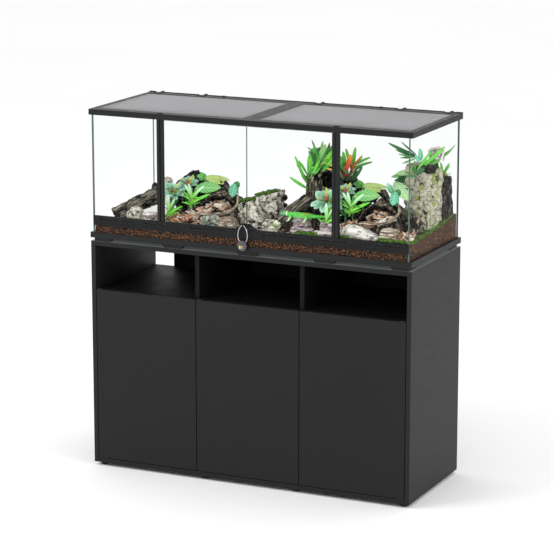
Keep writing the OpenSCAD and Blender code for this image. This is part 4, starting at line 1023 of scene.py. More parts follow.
def stumps():
    block_of_cork("cork_block", (0.026, -0.084, 0.9475), (0.090, 0.078, 0.138), 3, cork_grey, 0.28)
    block_of_cork("low_cork_block", (-0.051, -0.104, 0.9295), (0.060, 0.062, 0.108), 5, cork_grey, 0.2)
    block_of_cork("cork_foot", (0.030, -0.158, 0.9035), (0.120, 0.050, 0.052), 9, cork_grey)
    block_of_cork("cork_wedge", (-0.008, -0.128, 0.9285), (0.040, 0.032, 0.072), 12, pale_cork)
    for k, (at, size) in enumerate([((0.067, -0.062, 0.990), (0.018, 0.020, 0.022)),
                                    ((0.066, -0.060, 0.962), (0.014, 0.018, 0.016))]):
        fit(lump(f"cork_stub_{k}", at, size, k, 0.1, 0.003, 60.0, 4), dark_bark, ["cork_stump"])
    beds = []
    for k in range(9):
        x = -0.070 + 0.0145 * k
        z = 0.9815 + 0.2 * (x + 0.051) if x < -0.022 else 1.0125 + 0.30 * (x - 0.026)
        bed = lump(f"cork_moss_{k}", (x, -0.112 + 0.004 * (k % 3), z), (0.022, 0.034, 0.010 + 0.003 * (k % 2)), k,
                   0.2, 0.003, 90.0, 4)
        rough_move(bed, 0.0018, 240.0, seed=k)
        beds.append(bed)
    fit(joined("cork_moss", beds), moss_green, ())
    # a near-black lump set in the stump's mouth: painted shade in the hollow
    fit(lump("hollow_dark", (0.225, -0.062, 1.066), (0.046, 0.016, 0.066), 5, 0.0, 0.002, 60.0, 4), deep_shade,
        ["hollow_stump"])
    fit(trunk("stump_leader", [(0.186, -0.020, 1.070), (0.182, -0.016, 1.110), (0.176, -0.010, 1.150)],
              [0.022, 0.013, 0.006], 3,
              40, 28, 0.004, 60.0, 0.002, 60.0), stump_bark, ["hollow_stump"])
    old = trunk("hollow_stump_wood", [(0.180, -0.018, 0.8825), (0.184, -0.020, 0.9425), (0.188, -0.022, 1.0025),
                                      (0.191, -0.022, 1.0525), (0.194, -0.022, 1.100)],
                [0.062, 0.056, 0.055, 0.055, 0.044], 4, 90, 72, 0.008, 22.0, 0.006, 38.0, 0.5)
    mouth = Vector((0.226, -0.066, 1.066))
    for v in old.data.vertices:
        d = v.co - mouth
        near = math.sqrt((d.x / 0.023) ** 2 + (d.z / 0.033) ** 2 + (d.y / 0.06) ** 2)
        v.co.y += 0.050 * (1 - soften(0.7, 1.15, near))
        v.co.x -= 0.012 * (1 - soften(0.7, 1.15, near))
    fit(old, stump_bark, ["hollow_stump"])
    strands = []
    for k, way in enumerate([
            [(0.196, -0.074, 1.092), (0.204, -0.078, 1.066), (0.199, -0.080, 1.040), (0.190, -0.080, 1.012),
             (0.184, -0.079, 0.98)],
            [(0.206, -0.078, 1.072), (0.214, -0.082, 1.050), (0.226, -0.084, 1.036), (0.240, -0.080, 1.030)],
            [(0.200, -0.077, 1.078), (0.216, -0.082, 1.090), (0.236, -0.082, 1.100), (0.250, -0.072, 1.094)],
            [(0.188, -0.078, 1.060), (0.194, -0.082, 1.030), (0.206, -0.083, 1.000), (0.214, -0.078, 0.966)],
            [(0.180, -0.077, 1.085), (0.176, -0.082, 1.050), (0.180, -0.083, 1.010), (0.174, -0.078, 0.975)]]):
        strands.append(trunk(f"root_{k}", way, [0.0038, 0.0030, 0.0028, 0.0024, 0.0018][:len(way)], k, 30, 10,
                             0.0022, 70.0,
                             0.0, 40.0))
    fit(joined("root_strands", strands), root_bark, ["hollow_stump"])


HIDE_TO_HIDE = 0.594


def hide_edges(side, dx, dz):
    """The curled lip round a hide's mouth and the ragged ridge of bark behind it."""
    def at(*way):
        return [(x + dx, y, z + dz) for x, y, z in way]
    lip = trunk(f"{side}_hide_lip", at((-0.224, -0.160, 0.922), (-0.190, -0.162, 0.930), (-0.150, -0.158, 0.929),
                                       (-0.112, -0.142, 0.938), (-0.084, -0.124, 0.962), (-0.088, -0.110, 0.990)),
                [0.005, 0.010, 0.011, 0.010, 0.008, 0.004], 3, 44, 20, 0.0022, 60.0, 0.001, 90.0, 0.0, 0.55)
    fit(lip, lip_bark, ["bark_hides"])
    shell = lump(side + "_hide_shell", (-0.132 + dx, -0.142, 0.897 + dz), (0.128, 0.052, 0.044), 4, 0.3, 0.004,
                 30.0, 5,
                 crack=0.003)
    for v in shell.data.vertices:
        v.co.z += 0.030 * soften(-0.14 + dx, -0.075 + dx, v.co.x) * soften(0.88 + dz, 0.92 + dz, v.co.z)
    fit(shell, dark_bark, ["bark_hides"])
    ridge = trunk(f"{side}_bark_ridge", at((-0.225, 0.000, 0.975), (-0.208, -0.006, 0.998), (-0.184, -0.012, 1.004),
                                           (-0.150, -0.036, 0.974), (-0.112, -0.056, 0.958), (-0.084, -0.070, 0.925)),
                  [0.010, 0.012, 0.012, 0.013, 0.014, 0.012], 8, 50, 24, 0.006, 48.0, 0.003, 70.0)
    fit(ridge, dark_bark, ["bark_hides"])


def column():
    for name, at, size, seed, material in [
            ("column_front", (0.530, 0.048, 0.9945), (0.098, 0.150, 0.240), 2.3, column_cork),
            ("column_shoulder", (0.508, 0.022, 1.096), (0.052, 0.076, 0.066), 8.8, column_cork),
            ("column_saddle", (0.543, 0.040, 1.110), (0.062, 0.110, 0.034), 5.5, dark_bark),
            ("column_rear", (0.549, 0.162, 0.9765), (0.066, 0.100, 0.172), 7.1, dark_bark),
            ("column_rear_head", (0.553, 0.164, 1.034), (0.050, 0.070, 0.060), 3.1, dark_bark),
            ("column_head", (0.551, 0.112, 1.1435), (0.050, 0.060, 0.050), 4.4, cream_stone)]:
        block = lump(name, at, size, seed, 0.6, 0.007, 24.0, 6, crack=0.007, crack_grain=30.0, stretch=(1, 1, 0.7))
        rough_move(block, 0.003, 80.0, seed=seed, crack=0.002, crack_grain=100.0)
        for v in block.data.vertices:
            v.co.x = min(v.co.x, 0.5828)
        fit(block, material, ["cork_column"])
    curl = trunk("bark_curl", [(0.541, -0.122, 0.900), (0.543, -0.088, 0.9245), (0.547, -0.058, 0.946)],
                 [0.021, 0.024, 0.024], 3, 40, 48, 0.003, 30.0, 0.002, 40.0, 0.3)
    fit(curl, hide_bark, ["cork_column"])


logs()
hide("left_bark_hide", (-0.176, -0.052, 0.885), 14, 0.080, 0.120)
hide("right_bark_hide", (0.424, -0.050, 0.899), 10, 0.080, 0.120)
hide_edges("left", 0.0, 0.0)
hide_edges("right", HIDE_TO_HIDE, 0.018)
stumps()
column()

# ---------------------------------------------------------------- plants


def blade(name, width, droop, fold=0.25, belly=0.45, fullness=0.7, base=0.15, steps=12, across=4):
    """One leaf a metre long along +X: a grid drawn in to its base and tip, folded at its midrib and bowed down."""
    deselect()
    bpy.ops.mesh.primitive_grid_add(x_subdivisions=steps, y_subdivisions=across, size=1, location=(0, 0, 0))
    leaf = added(name)
    mesh = leaf.data
    uv = mesh.uv_layers[0]
    flat = {v.index: (v.co.x + 0.5, v.co.y + 0.5) for v in mesh.vertices}
    for loop in mesh.loops:
        t, s = flat[loop.vertex_index]
        uv.data[loop.index].uv = (s, t)
    power = math.log(0.5) / math.log(belly)
    for v in mesh.vertices:
        t, s = flat[v.index]
        spread = max(0.0, math.sin(math.pi * t ** power)) ** fullness
        spread = max(spread, base if t < belly else 0.03)
        y = (s - 0.5) * width * spread
        v.co = Vector((t * (1 - 0.25 * droop * t), y, abs(y) * fold - droop * t * t))
    wall = leaf.modifiers.new("wall", "SOLIDIFY")
    wall.thickness = min(0.012, width * 0.08)
    wall.offset = 0
    finish_modifiers(leaf)
    only(leaf)
    bpy.ops.object.shade_smooth()
    tone_of(leaf, 0.0)
    return leaf


def lay(base, tip, face=(0.35, -0.72, 0.60), wide=1.0):
    """Places a leaf from its base to its tip, with its upper side turned to face."""
    base, tip = Vector(base), Vector(tip)
    length = (tip - base).length
    ahead = (tip - base).normalized()
    up = Vector(face)
    up = (up - ahead * up.dot(ahead)).normalized()
    side = up.cross(ahead)
    turn = Matrix((ahead, side, up)).transposed().to_4x4()
    return Matrix.Translation(base) @ turn @ Matrix.Diagonal((length, length * wide, length, 1))


def spray(name, material, shape, leaves, shift=(0, 0, 0), face=(0.35, -0.72, 0.60), stem=None):
    """Leaves laid one by one. A leaf is (base, tip) or (base, tip, how wide)."""
    rng = random.Random(name)
    move = Matrix.Translation(shift)
    shade = 1.0 if len(leaves) > 3 else 0.1
    parts = [copy_of(blades[shape], move @ lay(leaf[0], leaf[1], face, leaf[2] if len(leaf) > 2 else 1.0),
                     shade * rng.random() ** 3) for leaf in leaves]
    if stem:
        foot = Vector((stem[0], stem[1], ground(stem[0] + shift[0], stem[1]) - 0.004 - shift[2]))
        deselect()
        way = Vector(stem) - foot
        bpy.ops.mesh.primitive_cylinder_add(vertices=8, radius=0.0022, depth=way.length,
                                            location=foot + way / 2 + Vector(shift))
        stalk = settle(added(name + "_stem"))
        tone_of(stalk, 0.6)
        parts.append(stalk)
    return fit(joined(name, parts), material, ["plants"])


def rosette(name, at, tiers, material, seed=1, axis=(0.2, -0.45, 0.87), stem=True):
    """Tiers of leaves round a crown that leans along axis. A tier is (shape, count, lift, length, turn)."""
    rng = random.Random(seed)
    parts = []
    lean = Vector((0, 0, 1)).rotation_difference(Vector(axis)).to_matrix().to_4x4()
    for shape, count, lift, length, turn in tiers:
        for k in range(count):
            spin = 2 * math.pi * k / count + math.radians(turn) + rng.uniform(-0.18, 0.18)
            rise = math.radians(lift + rng.uniform(-9, 9))
            place = (Matrix.Translation(at) @ lean @ Matrix.Rotation(spin, 4, "Z") @ Matrix.Rotation(-rise, 4, "Y")
                     @ Matrix.Translation((0.002, 0, 0)) @ Matrix.Scale(length * rng.uniform(0.85, 1.1), 4))
            parts.append(copy_of(blades[shape], place, rng.random() ** 3))
    if stem:
        root_z = ground(at[0], at[1]) - 0.004
        deselect()
        tall = at[2] - root_z
        bpy.ops.mesh.primitive_cone_add(vertices=10, radius1=0.003, radius2=0.0045, depth=tall,
                                        location=(at[0], at[1], (at[2] + root_z) / 2))
        stalk = settle(added(name + "_stem"))
        tone_of(stalk, 0.7)
        parts.append(stalk)
    return fit(joined(name, parts), material, ["plants"])


turquoise = leaf_finish("grey_green_leaf", (0.0, (0.20, 0.36, 0.05)), (0.2, (0.07, 0.30, 0.10)),
                        (0.55, (0.16, 0.50, 0.26)),
                        (1.0, (0.56, 0.88, 0.70)), edge=(0.70, 0.94, 0.82), vein=(0.34, 0.72, 0.46), mottle=0.3)
heart = leaf_finish("red_yellow_heart", (0.0, (0.66, 0.01, 0.02)), (0.28, (0.74, 0.08, 0.05)),
                    (0.42, (0.80, 0.52, 0.04)),
                    (0.7, (0.72, 0.72, 0.06)), (1.0, (0.46, 0.72, 0.10)), mottle=0.1)
lime = leaf_finish("lime_leaf", (0.0, (0.20, 0.50, 0.03)), (0.4, (0.22, 0.74, 0.03)), (1.0, (0.07, 0.56, 0.03)),
                   edge=(0.04, 0.42, 0.03), vein=(0.50, 0.84, 0.08), mottle=0.2)
pale_strap = leaf_finish("pale_strap_leaf", (0.0, (0.20, 0.64, 0.05)), (0.5, (0.40, 0.80, 0.30)),
                         (1.0, (0.76, 0.93, 0.82)),
                         vein=(0.80, 0.94, 0.76), mottle=0.1)
ribbed = leaf_finish("ribbed_leaf", (0.0, (0.10, 0.52, 0.08)), (0.5, (0.14, 0.58, 0.12)), (1.0, (0.24, 0.68, 0.16)),
                     vein=(0.56, 0.86, 0.42), rib_count=8, mottle=0.15)
yellow_green = leaf_finish("yellow_green_leaf", (0.0, (0.34, 0.66, 0.08)), (0.5, (0.60, 0.78, 0.22)),
                           (1.0, (0.52, 0.76, 0.16)),
                           vein=(0.78, 0.88, 0.42), rib_count=6, mottle=0.08)
plain_green = leaf_finish("plain_green_leaf", (0.0, (0.10, 0.46, 0.05)), (0.6, (0.10, 0.58, 0.10)),
                          (1.0, (0.16, 0.70, 0.12)),
                          vein=(0.30, 0.72, 0.20), rib_count=7, mottle=0.25)
deep_green = leaf_finish("deep_green_leaf", (0.0, (0.015, 0.09, 0.02)), (0.6, (0.02, 0.16, 0.03)),
                         (1.0, (0.05, 0.30, 0.07)),
                         vein=(0.12, 0.40, 0.14), mottle=0.3)
teal = leaf_finish("teal_leaf", (0.0, (0.05, 0.38, 0.18)), (0.5, (0.08, 0.50, 0.28)), (1.0, (0.14, 0.60, 0.36)),
                   vein=(0.40, 0.80, 0.58), edge=(0.05, 0.36, 0.20), rib_count=5, mottle=0.1)
bright_strap = leaf_finish("bright_strap_leaf", (0.0, (0.06, 0.20, 0.03)), (0.3, (0.10, 0.50, 0.03)),
                           (0.8, (0.16, 0.70, 0.05)),
                           (1.0, (0.10, 0.52, 0.06)), edge=(0.06, 0.42, 0.04), vein=(0.26, 0.76, 0.12), mottle=0.25)
pale_green_strap = leaf_finish("pale_green_strap", (0.0, (0.08, 0.36, 0.05)), (0.5, (0.16, 0.62, 0.14)),
                               (1.0, (0.40, 0.76, 0.36)),
                               vein=(0.48, 0.82, 0.44), mottle=0.2)
golden_strap = leaf_finish("golden_strap", (0.0, (0.42, 0.66, 0.04)), (0.5, (0.80, 0.66, 0.05)),
                           (1.0, (0.84, 0.50, 0.10)),
                           vein=(0.86, 0.78, 0.22), mottle=0.15)
red_strap = leaf_finish("red_strap", (0.0, (0.42, 0.01, 0.01)), (0.40, (0.80, 0.02, 0.01)),
                        (0.70, (0.88, 0.14, 0.01)),
                        (1.0, (0.84, 0.52, 0.03)), vein=(0.88, 0.22, 0.03), mottle=0.1)
root_leaf = leaf_finish("dry_strap", (0.0, (0.10, 0.06, 0.03)), (0.6, (0.34, 0.20, 0.10)),
                        (1.0, (0.44, 0.30, 0.18)), mottle=0.3)
pale_leaf = leaf_finish("pale_leaf", (0.0, (0.36, 0.70, 0.30)), (0.5, (0.46, 0.78, 0.36)), (1.0, (0.42, 0.76, 0.26)),
                        vein=(0.70, 0.90, 0.60), rib_count=8, mottle=0.1)
lichen_leaf = leaf_finish("lichen_leaf", (0.0, (0.60, 0.76, 0.24)), (0.6, (0.80, 0.84, 0.56)),
                          (1.0, (0.90, 0.92, 0.80)), mottle=0.1)

blades = {
    "petal": blade("petal_blade", 0.44, 0.16, 0.3, 0.62, 0.48, 0.4),
    "blunt": blade("blunt_blade", 0.20, 0.06, 0.3, 0.72, 0.32, 0.7, steps=14),
    "short": blade("short_blade", 0.46, 0.22, 0.3, 0.58, 0.75, 0.35),
    "strap": blade("strap_blade", 0.17, 0.22, 0.35, 0.55, 0.45, 0.55, steps=16),
    "arch": blade("arch_blade", 0.13, -0.28, 0.3, 0.5, 0.5, 0.4, steps=16),
    "broad": blade("broad_blade", 0.52, 0.10, 0.16, 0.48, 0.72, 0.06, steps=24, across=8),
    "oval": blade("oval_blade", 0.44, 0.14, 0.2, 0.45, 0.75, 0.08, steps=18, across=6),
    "round": blade("round_blade", 0.66, 0.12, 0.15, 0.5, 0.6, 0.12, steps=16, across=6),
}


def tuft(name, foot, tip, tips, shift, pale=()):
    """Strap leaves that part from one upright stem leaf."""
    foot, tip = Vector(foot), Vector(tip)
    rng = random.Random(name)
    leaves = [(foot, tip, 1.05), (foot + Vector((0.002, 0.003, 0)),
                                  foot.lerp(tip, 1.12) + Vector((0.006, 0.004, 0)), 0.8)]
    for k, end in enumerate(tips):
        start = foot.lerp(tip, 0.25 + 0.4 * (k % 3) / 2)
        leaves.append((start, Vector(end), 0.85 if k < 2 else 0.75))
    for k in range(7):
        a = 0.9 * k + rng.uniform(0, 0.5)
        reach = (tip - foot).length * rng.uniform(0.5, 0.8)
        leaves.append((foot.lerp(tip, 0.15), foot + Vector((reach * math.cos(a), abs(reach * math.sin(a)) * 0.8,
                                                               reach * rng.uniform(0.5, 1.0))), 0.7))
    spray(name, lime, "strap", leaves, shift)
    if pale:
        spray(name + "_pale", pale_strap, "strap", [(foot.lerp(tip, t), Vector(end), w) for t, end, w in pale], shift)


def hide_planting(side, shift):
    """The plants round a bark hide, the same on both sides of the tank."""
    def crown(at):
        return tuple(a + b for a, b in zip(at, shift))
    for k, (at, size) in enumerate([((-0.342, -0.100, 0.981), 1.0), ((-0.306, -0.052, 1.003), 0.86)]):
        rosette(f"{side}_turquoise_{k}", crown(at), [("petal", 8, 8, 0.044 * size, 0),
                                                     ("petal", 8, 34, 0.040 * size, 20),
                ("petal", 6, 62, 0.032 * size, 40)], turquoise, seed=k + 1)
        rosette(f"{side}_heart_{k}", crown((at[0] + 0.001, at[1] - 0.006, at[2] + 0.003)),
                [("petal", 5, 28, 0.020 * size, 10),
                ("strap", 3, 48, 0.042 * size, 80)], heart, seed=k + 11, stem=False)
    tuft(f"{side}_lime_0", (-0.330, -0.172, 0.902), (-0.313, -0.172, 0.962),
         [(-0.274, -0.172, 0.955), (-0.336, -0.178, 0.948), (-0.286, -0.165, 0.938), (-0.304, -0.160, 0.978),
          (-0.345, -0.170, 0.930)],
         shift, [(0.4, (-0.322, -0.178, 0.988), 1.15), (0.5, (-0.300, -0.176, 0.975), 0.8)])
    tuft(f"{side}_lime_1", (-0.261, -0.128, 0.938), (-0.252, -0.128, 0.996),
         [(-0.191, -0.130, 0.998), (-0.290, -0.128, 0.984), (-0.210, -0.130, 0.978), (-0.222, -0.122, 1.024),
          (-0.300, -0.112, 1.000)],
         shift, [(0.6, (-0.263, -0.134, 1.026), 1.0), (0.6, (-0.212, -0.132, 1.022), 0.9),
                 (0.6, (-0.292, -0.112, 1.024), 0.8)])
    spray(f"{side}_ribbed_leaf", ribbed, "broad", [((-0.272, -0.070, 0.994), (-0.180, -0.052, 1.008), 1.0)], shift,
          (0.30, -0.60, 0.74), stem=(-0.272, -0.070, 0.994))
    spray(f"{side}_green_leaf", plain_green, "oval", [((-0.262, 0.004, 1.023), (-0.314, 0.016, 1.027), 0.85),
          ((-0.262, 0.004, 1.023), (-0.292, 0.006, 1.040), 0.8),
          ((-0.262, 0.004, 1.021), (-0.296, 0.000, 1.014), 0.8)], shift,
          (0.2, -0.8, 0.56), stem=(-0.262, 0.004, 1.021))
    spray(f"{side}_yellow_leaf", yellow_green, "oval", [((-0.262, -0.008, 1.026), (-0.180, -0.026, 1.018), 0.95),
          ((-0.252, -0.006, 1.024), (-0.166, -0.012, 1.030),
           0.55)], shift, (0.15, -0.60, 0.78), stem=(-0.262, -0.008, 1.026))
    spray(f"{side}_teal_leaf", teal, "round", [((-0.108, -0.092, 1.030), (-0.114, -0.104, 0.982), 0.95)], shift,
          (0.45, -0.85, 0.2), stem=(-0.102, -0.080, 1.020))
    spray(f"{side}_teal_back", deep_green, "round", [((-0.112, -0.088, 1.012), (-0.094, -0.090, 1.036), 1.2)],
          shift, (0.5, -0.8, 0.3))
    rng = random.Random(side)
    spray(f"{side}_under_leaves", deep_green, "strap", [
        ((x, -0.070, z), (x + rng.uniform(-0.022, 0.022), -0.090, z + rng.uniform(0.020, 0.040)), 1.5)
        for x, z in ((-0.356, 0.925), (-0.338, 0.938), (-0.322, 0.940), (-0.306, 0.950), (-0.292, 0.955),
                     (-0.278, 0.960),
                     (-0.348, 0.950), (-0.300, 0.925))], shift)


def stump_planting():
    spray("stump_bright_straps", bright_strap, "strap", [
        ((0.172, -0.050, 1.070), (0.202, -0.044, 1.180), 0.95),
        ((0.158, -0.058, 1.060), (0.164, -0.070, 1.146), 1.30),
        ((0.160, -0.062, 1.050), (0.198, -0.078, 1.132), 0.80),
        ((0.186, -0.060, 1.085), (0.230, -0.054, 1.158), 0.85),
        ((0.176, -0.040, 1.110), (0.150, -0.030, 1.156), 1.0), ((0.180, -0.030, 1.110), (0.216, -0.030, 1.172), 0.9),
        ((0.150, -0.056, 1.070), (0.118, -0.060, 1.126), 0.8), ((0.204, -0.070, 1.080), (0.246, -0.080, 1.140), 0.9)])
    spray("stump_thin_straps", deep_green, "arch", [
        ((0.152, -0.058, 1.055), (0.109, -0.060, 1.100), 0.9), ((0.150, -0.052, 1.040), (0.126, -0.060, 1.066), 1.0),
        ((0.196, -0.010, 1.130), (0.214, -0.012, 1.182), 1.4), ((0.165, 0.000, 1.130), (0.140, -0.010, 1.182), 0.9),
        ((0.190, -0.050, 1.060), (0.226, -0.060, 1.120), 1.4)])
    spray("stump_arching_straps", bright_strap, "arch", [
        ((0.152, -0.062, 1.040), (0.104, -0.070, 1.129), 0.8), ((0.157, -0.070, 1.028), (0.095, -0.080, 1.056), 1.3),
        ((0.182, -0.080, 1.080), (0.218, -0.090, 1.106), 1.3)])
    spray("stump_pale_straps", pale_green_strap, "strap", [
        ((0.178, -0.024, 1.120), (0.185, -0.010, 1.190), 0.8), ((0.174, -0.010, 1.120), (0.142, -0.012, 1.160), 0.8),
        ((0.166, -0.006, 1.130), (0.127, -0.012, 1.166), 0.7), ((0.186, -0.046, 1.110), (0.206, -0.042, 1.176), 1.1),
        ((0.164, -0.064, 1.060), (0.184, -0.074, 1.104), 1.0)])
    rng = random.Random(21)
    crowd = []
    for k in range(26):
        x, z = 0.160 + 0.062 * rng.random(), 1.085 + 0.045 * rng.random()
        crowd.append(((x, -0.028, z), (x + rng.uniform(-0.030, 0.026), -0.036, z + rng.uniform(0.030, 0.062)),
                      rng.uniform(1.0, 1.6)))
    spray("stump_crowd", plain_green, "strap", crowd[:13])
    spray("stump_dark_crowd", deep_green, "strap", crowd[13:])
    spray("stump_wide_leaf", yellow_green, "strap", [((0.176, -0.036, 1.088), (0.206, -0.044, 1.180), 1.35)])
    spray("stump_front_leaves", lime, "strap", [
        ((0.196, -0.060, 1.108), (0.152, -0.066, 1.098), 1.0), ((0.210, -0.060, 1.104), (0.242, -0.066, 1.126), 1.3),
        ((0.200, -0.052, 1.104), (0.240, -0.050, 1.170), 1.2), ((0.216, -0.050, 1.104), (0.244, -0.050, 1.150), 1.4),
        ((0.184, -0.064, 1.098), (0.158, -0.068, 1.082), 1.0), ((0.200, -0.062, 1.112), (0.226, -0.066, 1.132), 1.6)])
    spray("stump_golden_straps", golden_strap, "strap", [
        ((0.252, -0.062, 1.108), (0.203, -0.070, 1.128), 0.9), ((0.256, -0.070, 1.096), (0.230, -0.082, 1.108), 1.3),
        ((0.176, -0.020, 1.140), (0.160, -0.024, 1.166), 0.8)])
    rosette("stump_turquoise", (0.249, -0.115, 0.999), [("petal", 9, 4, 0.056, 0), ("petal", 8, 30, 0.050, 24),
            ("petal", 6, 58, 0.042, 10)], turquoise, seed=7)
    rosette("stump_heart", (0.250, -0.123, 1.002), [("petal", 6, 28, 0.020, 0), ("strap", 4, 46, 0.050, 30)], heart,
            seed=8,
            stem=False)
    tuft("stump_lime", (0.252, -0.138, 0.955), (0.284, -0.138, 1.010),
         [(0.268, -0.140, 1.016), (0.296, -0.140, 0.990), (0.300, -0.135, 1.004)], (0, 0, 0))
    rosette("lichen", (0.091, -0.184, 0.912), [("round", 6, 35, 0.020, 0), ("round", 5, 65, 0.024, 20)],
            lichen_leaf, seed=31,
            axis=(0.1, -0.5, 0.86))


def crag_planting():
    spray("crag_red_leaf", red_strap, "blunt", [((0.264, -0.004, 1.070), (0.286, -0.004, 1.146), 1.05),
          ((0.266, 0.000, 1.066), (0.270, -0.006, 1.108), 1.3)])
    spray("crag_thin_red", red_strap, "arch", [((0.284, 0.000, 1.100), (0.330, 0.006, 1.142), 0.7),
          ((0.280, -0.004, 1.086), (0.310, -0.008, 1.112), 0.8)])
    spray("crag_straps", bright_strap, "strap", [
        ((0.262, 0.010, 1.080), (0.252, 0.010, 1.154), 1.1), ((0.262, 0.000, 1.084), (0.246, 0.000, 1.140), 1.3),
        ((0.276, 0.020, 1.090), (0.258, 0.020, 1.164), 0.9), ((0.280, 0.020, 1.090), (0.292, 0.020, 1.168), 1.0),
        ((0.284, 0.000, 1.092), (0.358, 0.000, 1.131), 0.7), ((0.284, 0.004, 1.100), (0.348, 0.004, 1.144), 0.8),
        ((0.274, -0.006, 1.078), (0.240, -0.010, 1.120), 1.2), ((0.286, 0.010, 1.096), (0.318, 0.014, 1.140), 0.9)])
    spray("crag_base_straps", deep_green, "strap", [
        ((0.250 + 0.008 * k, 0.008, 1.052), (0.236 + 0.017 * k, 0.004, 1.092 + 0.006 * (k % 3)),
         1.1) for k in range(6)])
    spray("crag_brown_straps", root_leaf, "arch", [
        ((0.262, -0.006, 1.056), (0.244, -0.012, 1.090), 1.0), ((0.276, -0.006, 1.062), (0.312, -0.010, 1.100), 0.9),
        ((0.272, -0.006, 1.056), (0.296, -0.012, 1.078), 1.0)])
    spray("crag_deep_straps", deep_green, "strap", [
        ((0.262, 0.000, 1.070), (0.262, -0.004, 1.118), 1.5), ((0.284, -0.004, 1.080), (0.326, -0.010, 1.112), 0.8),
        ((0.262, 0.004, 1.070), (0.236, 0.000, 1.104), 1.2), ((0.276, 0.002, 1.076), (0.300, 0.000, 1.110), 0.9)])


def column_planting():
    spray("pale_broad_leaf", pale_leaf, "broad", [((0.452, -0.020, 1.066), (0.524, -0.060, 1.018), 0.95)],
          face=(0.45, -0.70, 0.55),
          stem=(0.452, -0.020, 1.066))
    spray("grey_green_leaf", turquoise, "oval", [((0.462, -0.052, 1.030), (0.436, -0.050, 1.070), 1.1)],
          face=(0.35, -0.9, 0.2),
          stem=(0.462, -0.052, 1.030))
    spray("top_leaf", pale_leaf, "oval", [((0.508, -0.012, 1.100), (0.448, -0.012, 1.096), 0.8)],
          stem=(0.508, -0.010, 1.100))
    spray("shade_leaves", deep_green, "oval", [
        ((0.505, -0.004, 1.086), (0.446, -0.004, 1.090), 0.8), ((0.500, 0.000, 1.070), (0.438, 0.000, 1.072), 0.8),
        ((0.505, 0.000, 1.070), (0.460, 0.004, 1.052), 0.9), ((0.490, 0.000, 1.084), (0.432, 0.004, 1.086), 0.7),
        ((0.505, -0.030, 1.050), (0.474, -0.034, 1.026), 1.0)], stem=(0.500, 0.000, 1.070))
    spray("shade_leaf_bright", plain_green, "oval", [((0.470, -0.004, 1.084), (0.430, -0.006, 1.082), 0.7)])
    spray("hanging_straps", deep_green, "arch", [
        ((0.500, 0.052, 1.148), (0.410, 0.040, 1.172), 1.0), ((0.500, 0.052, 1.146), (0.436, 0.040, 1.156), 1.2),
        ((0.500, 0.052, 1.144), (0.454, 0.040, 1.134), 1.1), ((0.500, 0.052, 1.152), (0.450, 0.044, 1.184), 0.9)])
    spray("hanging_bright", plain_green, "arch", [
        ((0.500, 0.050, 1.142), (0.446, 0.040, 1.144), 1.0), ((0.500, 0.050, 1.140), (0.462, 0.040, 1.118), 1.2)])
    inside_tank(spray("column_straps", bright_strap, "arch", [
        ((0.536, -0.036, 1.112), (0.548, 0.196, 1.124), 0.42), ((0.538, -0.030, 1.112), (0.556, 0.110, 1.150), 0.7),
        ((0.536, -0.040, 1.112), (0.530, -0.075, 1.158), 1.6), ((0.538, -0.040, 1.108), (0.552, 0.080, 1.116), 0.8),
        ((0.534, -0.040, 1.108), (0.516, -0.082, 1.128), 1.5), ((0.536, -0.034, 1.112), (0.560, 0.020, 1.168), 0.9)],
        face=(0.7, -0.4, 0.6)))
    spray("column_deep", deep_green, "strap", [
        ((0.538, -0.040, 1.100), (0.540, -0.058, 1.132), 2.0), ((0.538, -0.036, 1.100), (0.560, -0.010, 1.126), 2.0),
        ((0.538, -0.036, 1.100), (0.560, 0.026, 1.122), 1.4), ((0.538, -0.040, 1.096), (0.534, -0.080, 1.104), 1.5),
        ((0.538, -0.020, 1.104), (0.562, 0.050, 1.142), 1.0)], face=(0.7, -0.4, 0.6))
    spray("column_upright", teal, "round", [((0.540, -0.006, 1.142), (0.542, -0.016, 1.186), 0.6),
          ((0.540, -0.020, 1.138), (0.538, -0.046, 1.168), 0.6)], face=(0.7, -0.6, 0.4))
    inside_tank(rosette("far_bromeliad", (0.556, 0.160, 1.062),
                        [("strap", 6, 62, 0.060, 0), ("strap", 6, 30, 0.058, 24)],
                        bright_strap, seed=11, axis=(0.0, -0.15, 0.99)))
    inside_tank(rosette("far_heart", (0.557, 0.156, 1.066), [("short", 4, 50, 0.022, 0)], red_strap, seed=12,
                        stem=False))


def planting():
    hide_planting("left", (0.0, 0.0, 0.0))
    hide_planting("right", (HIDE_TO_HIDE, 0.0, 0.019))
    stump_planting()
    crag_planting()
    column_planting()


planting()

# ---------------------------------------------------------------- gecko


def gecko_finish():
    """Bright green skin, a blue-tinged snout, red flecks along the back and a pale collar."""
    f = Finish("gecko_skin", roughness=0.35, specular=0.45)
    x, _, z = f.split(f.place())
    scales = f.cells(f.place(), 900)
    green = f.ramp(f.clouds(f.place(), 120, 3), (0.3, (0.03, 0.40, 0.03)), (0.7, (0.08, 0.68, 0.06)))
    snout = f.ramp(f.maths("MULTIPLY", f.maths("SUBTRACT", x, 0.097), 40.0), (0.2, 0.85), (0.9, 0.0))
    skin = f.mix(snout, green, (0.05, 0.42, 0.50))
    red = f.ramp(f.clouds(f.place(), 95, 2), (0.58, 0.0), (0.62, 0.9))
    back = f.ramp(z, (0.9560, 0.0), (0.9620, 1.0))
    skin = f.mix(f.maths("MULTIPLY", red, back), skin, (0.52, 0.03, 0.02))
    collar = f.maths("LESS_THAN", f.maths("ABSOLUTE", f.maths("SUBTRACT", x, 0.1275)), 0.0022)
    skin = f.mix(collar, skin, (0.78, 0.82, 0.72))
    belly = f.ramp(z, (0.9460, 0.8), (0.9540, 0.0))
    f.colour(f.mix(belly, skin, (0.70, 0.76, 0.52)))
    f.bump(scales, 0.4, 0.0004)
    return f.material


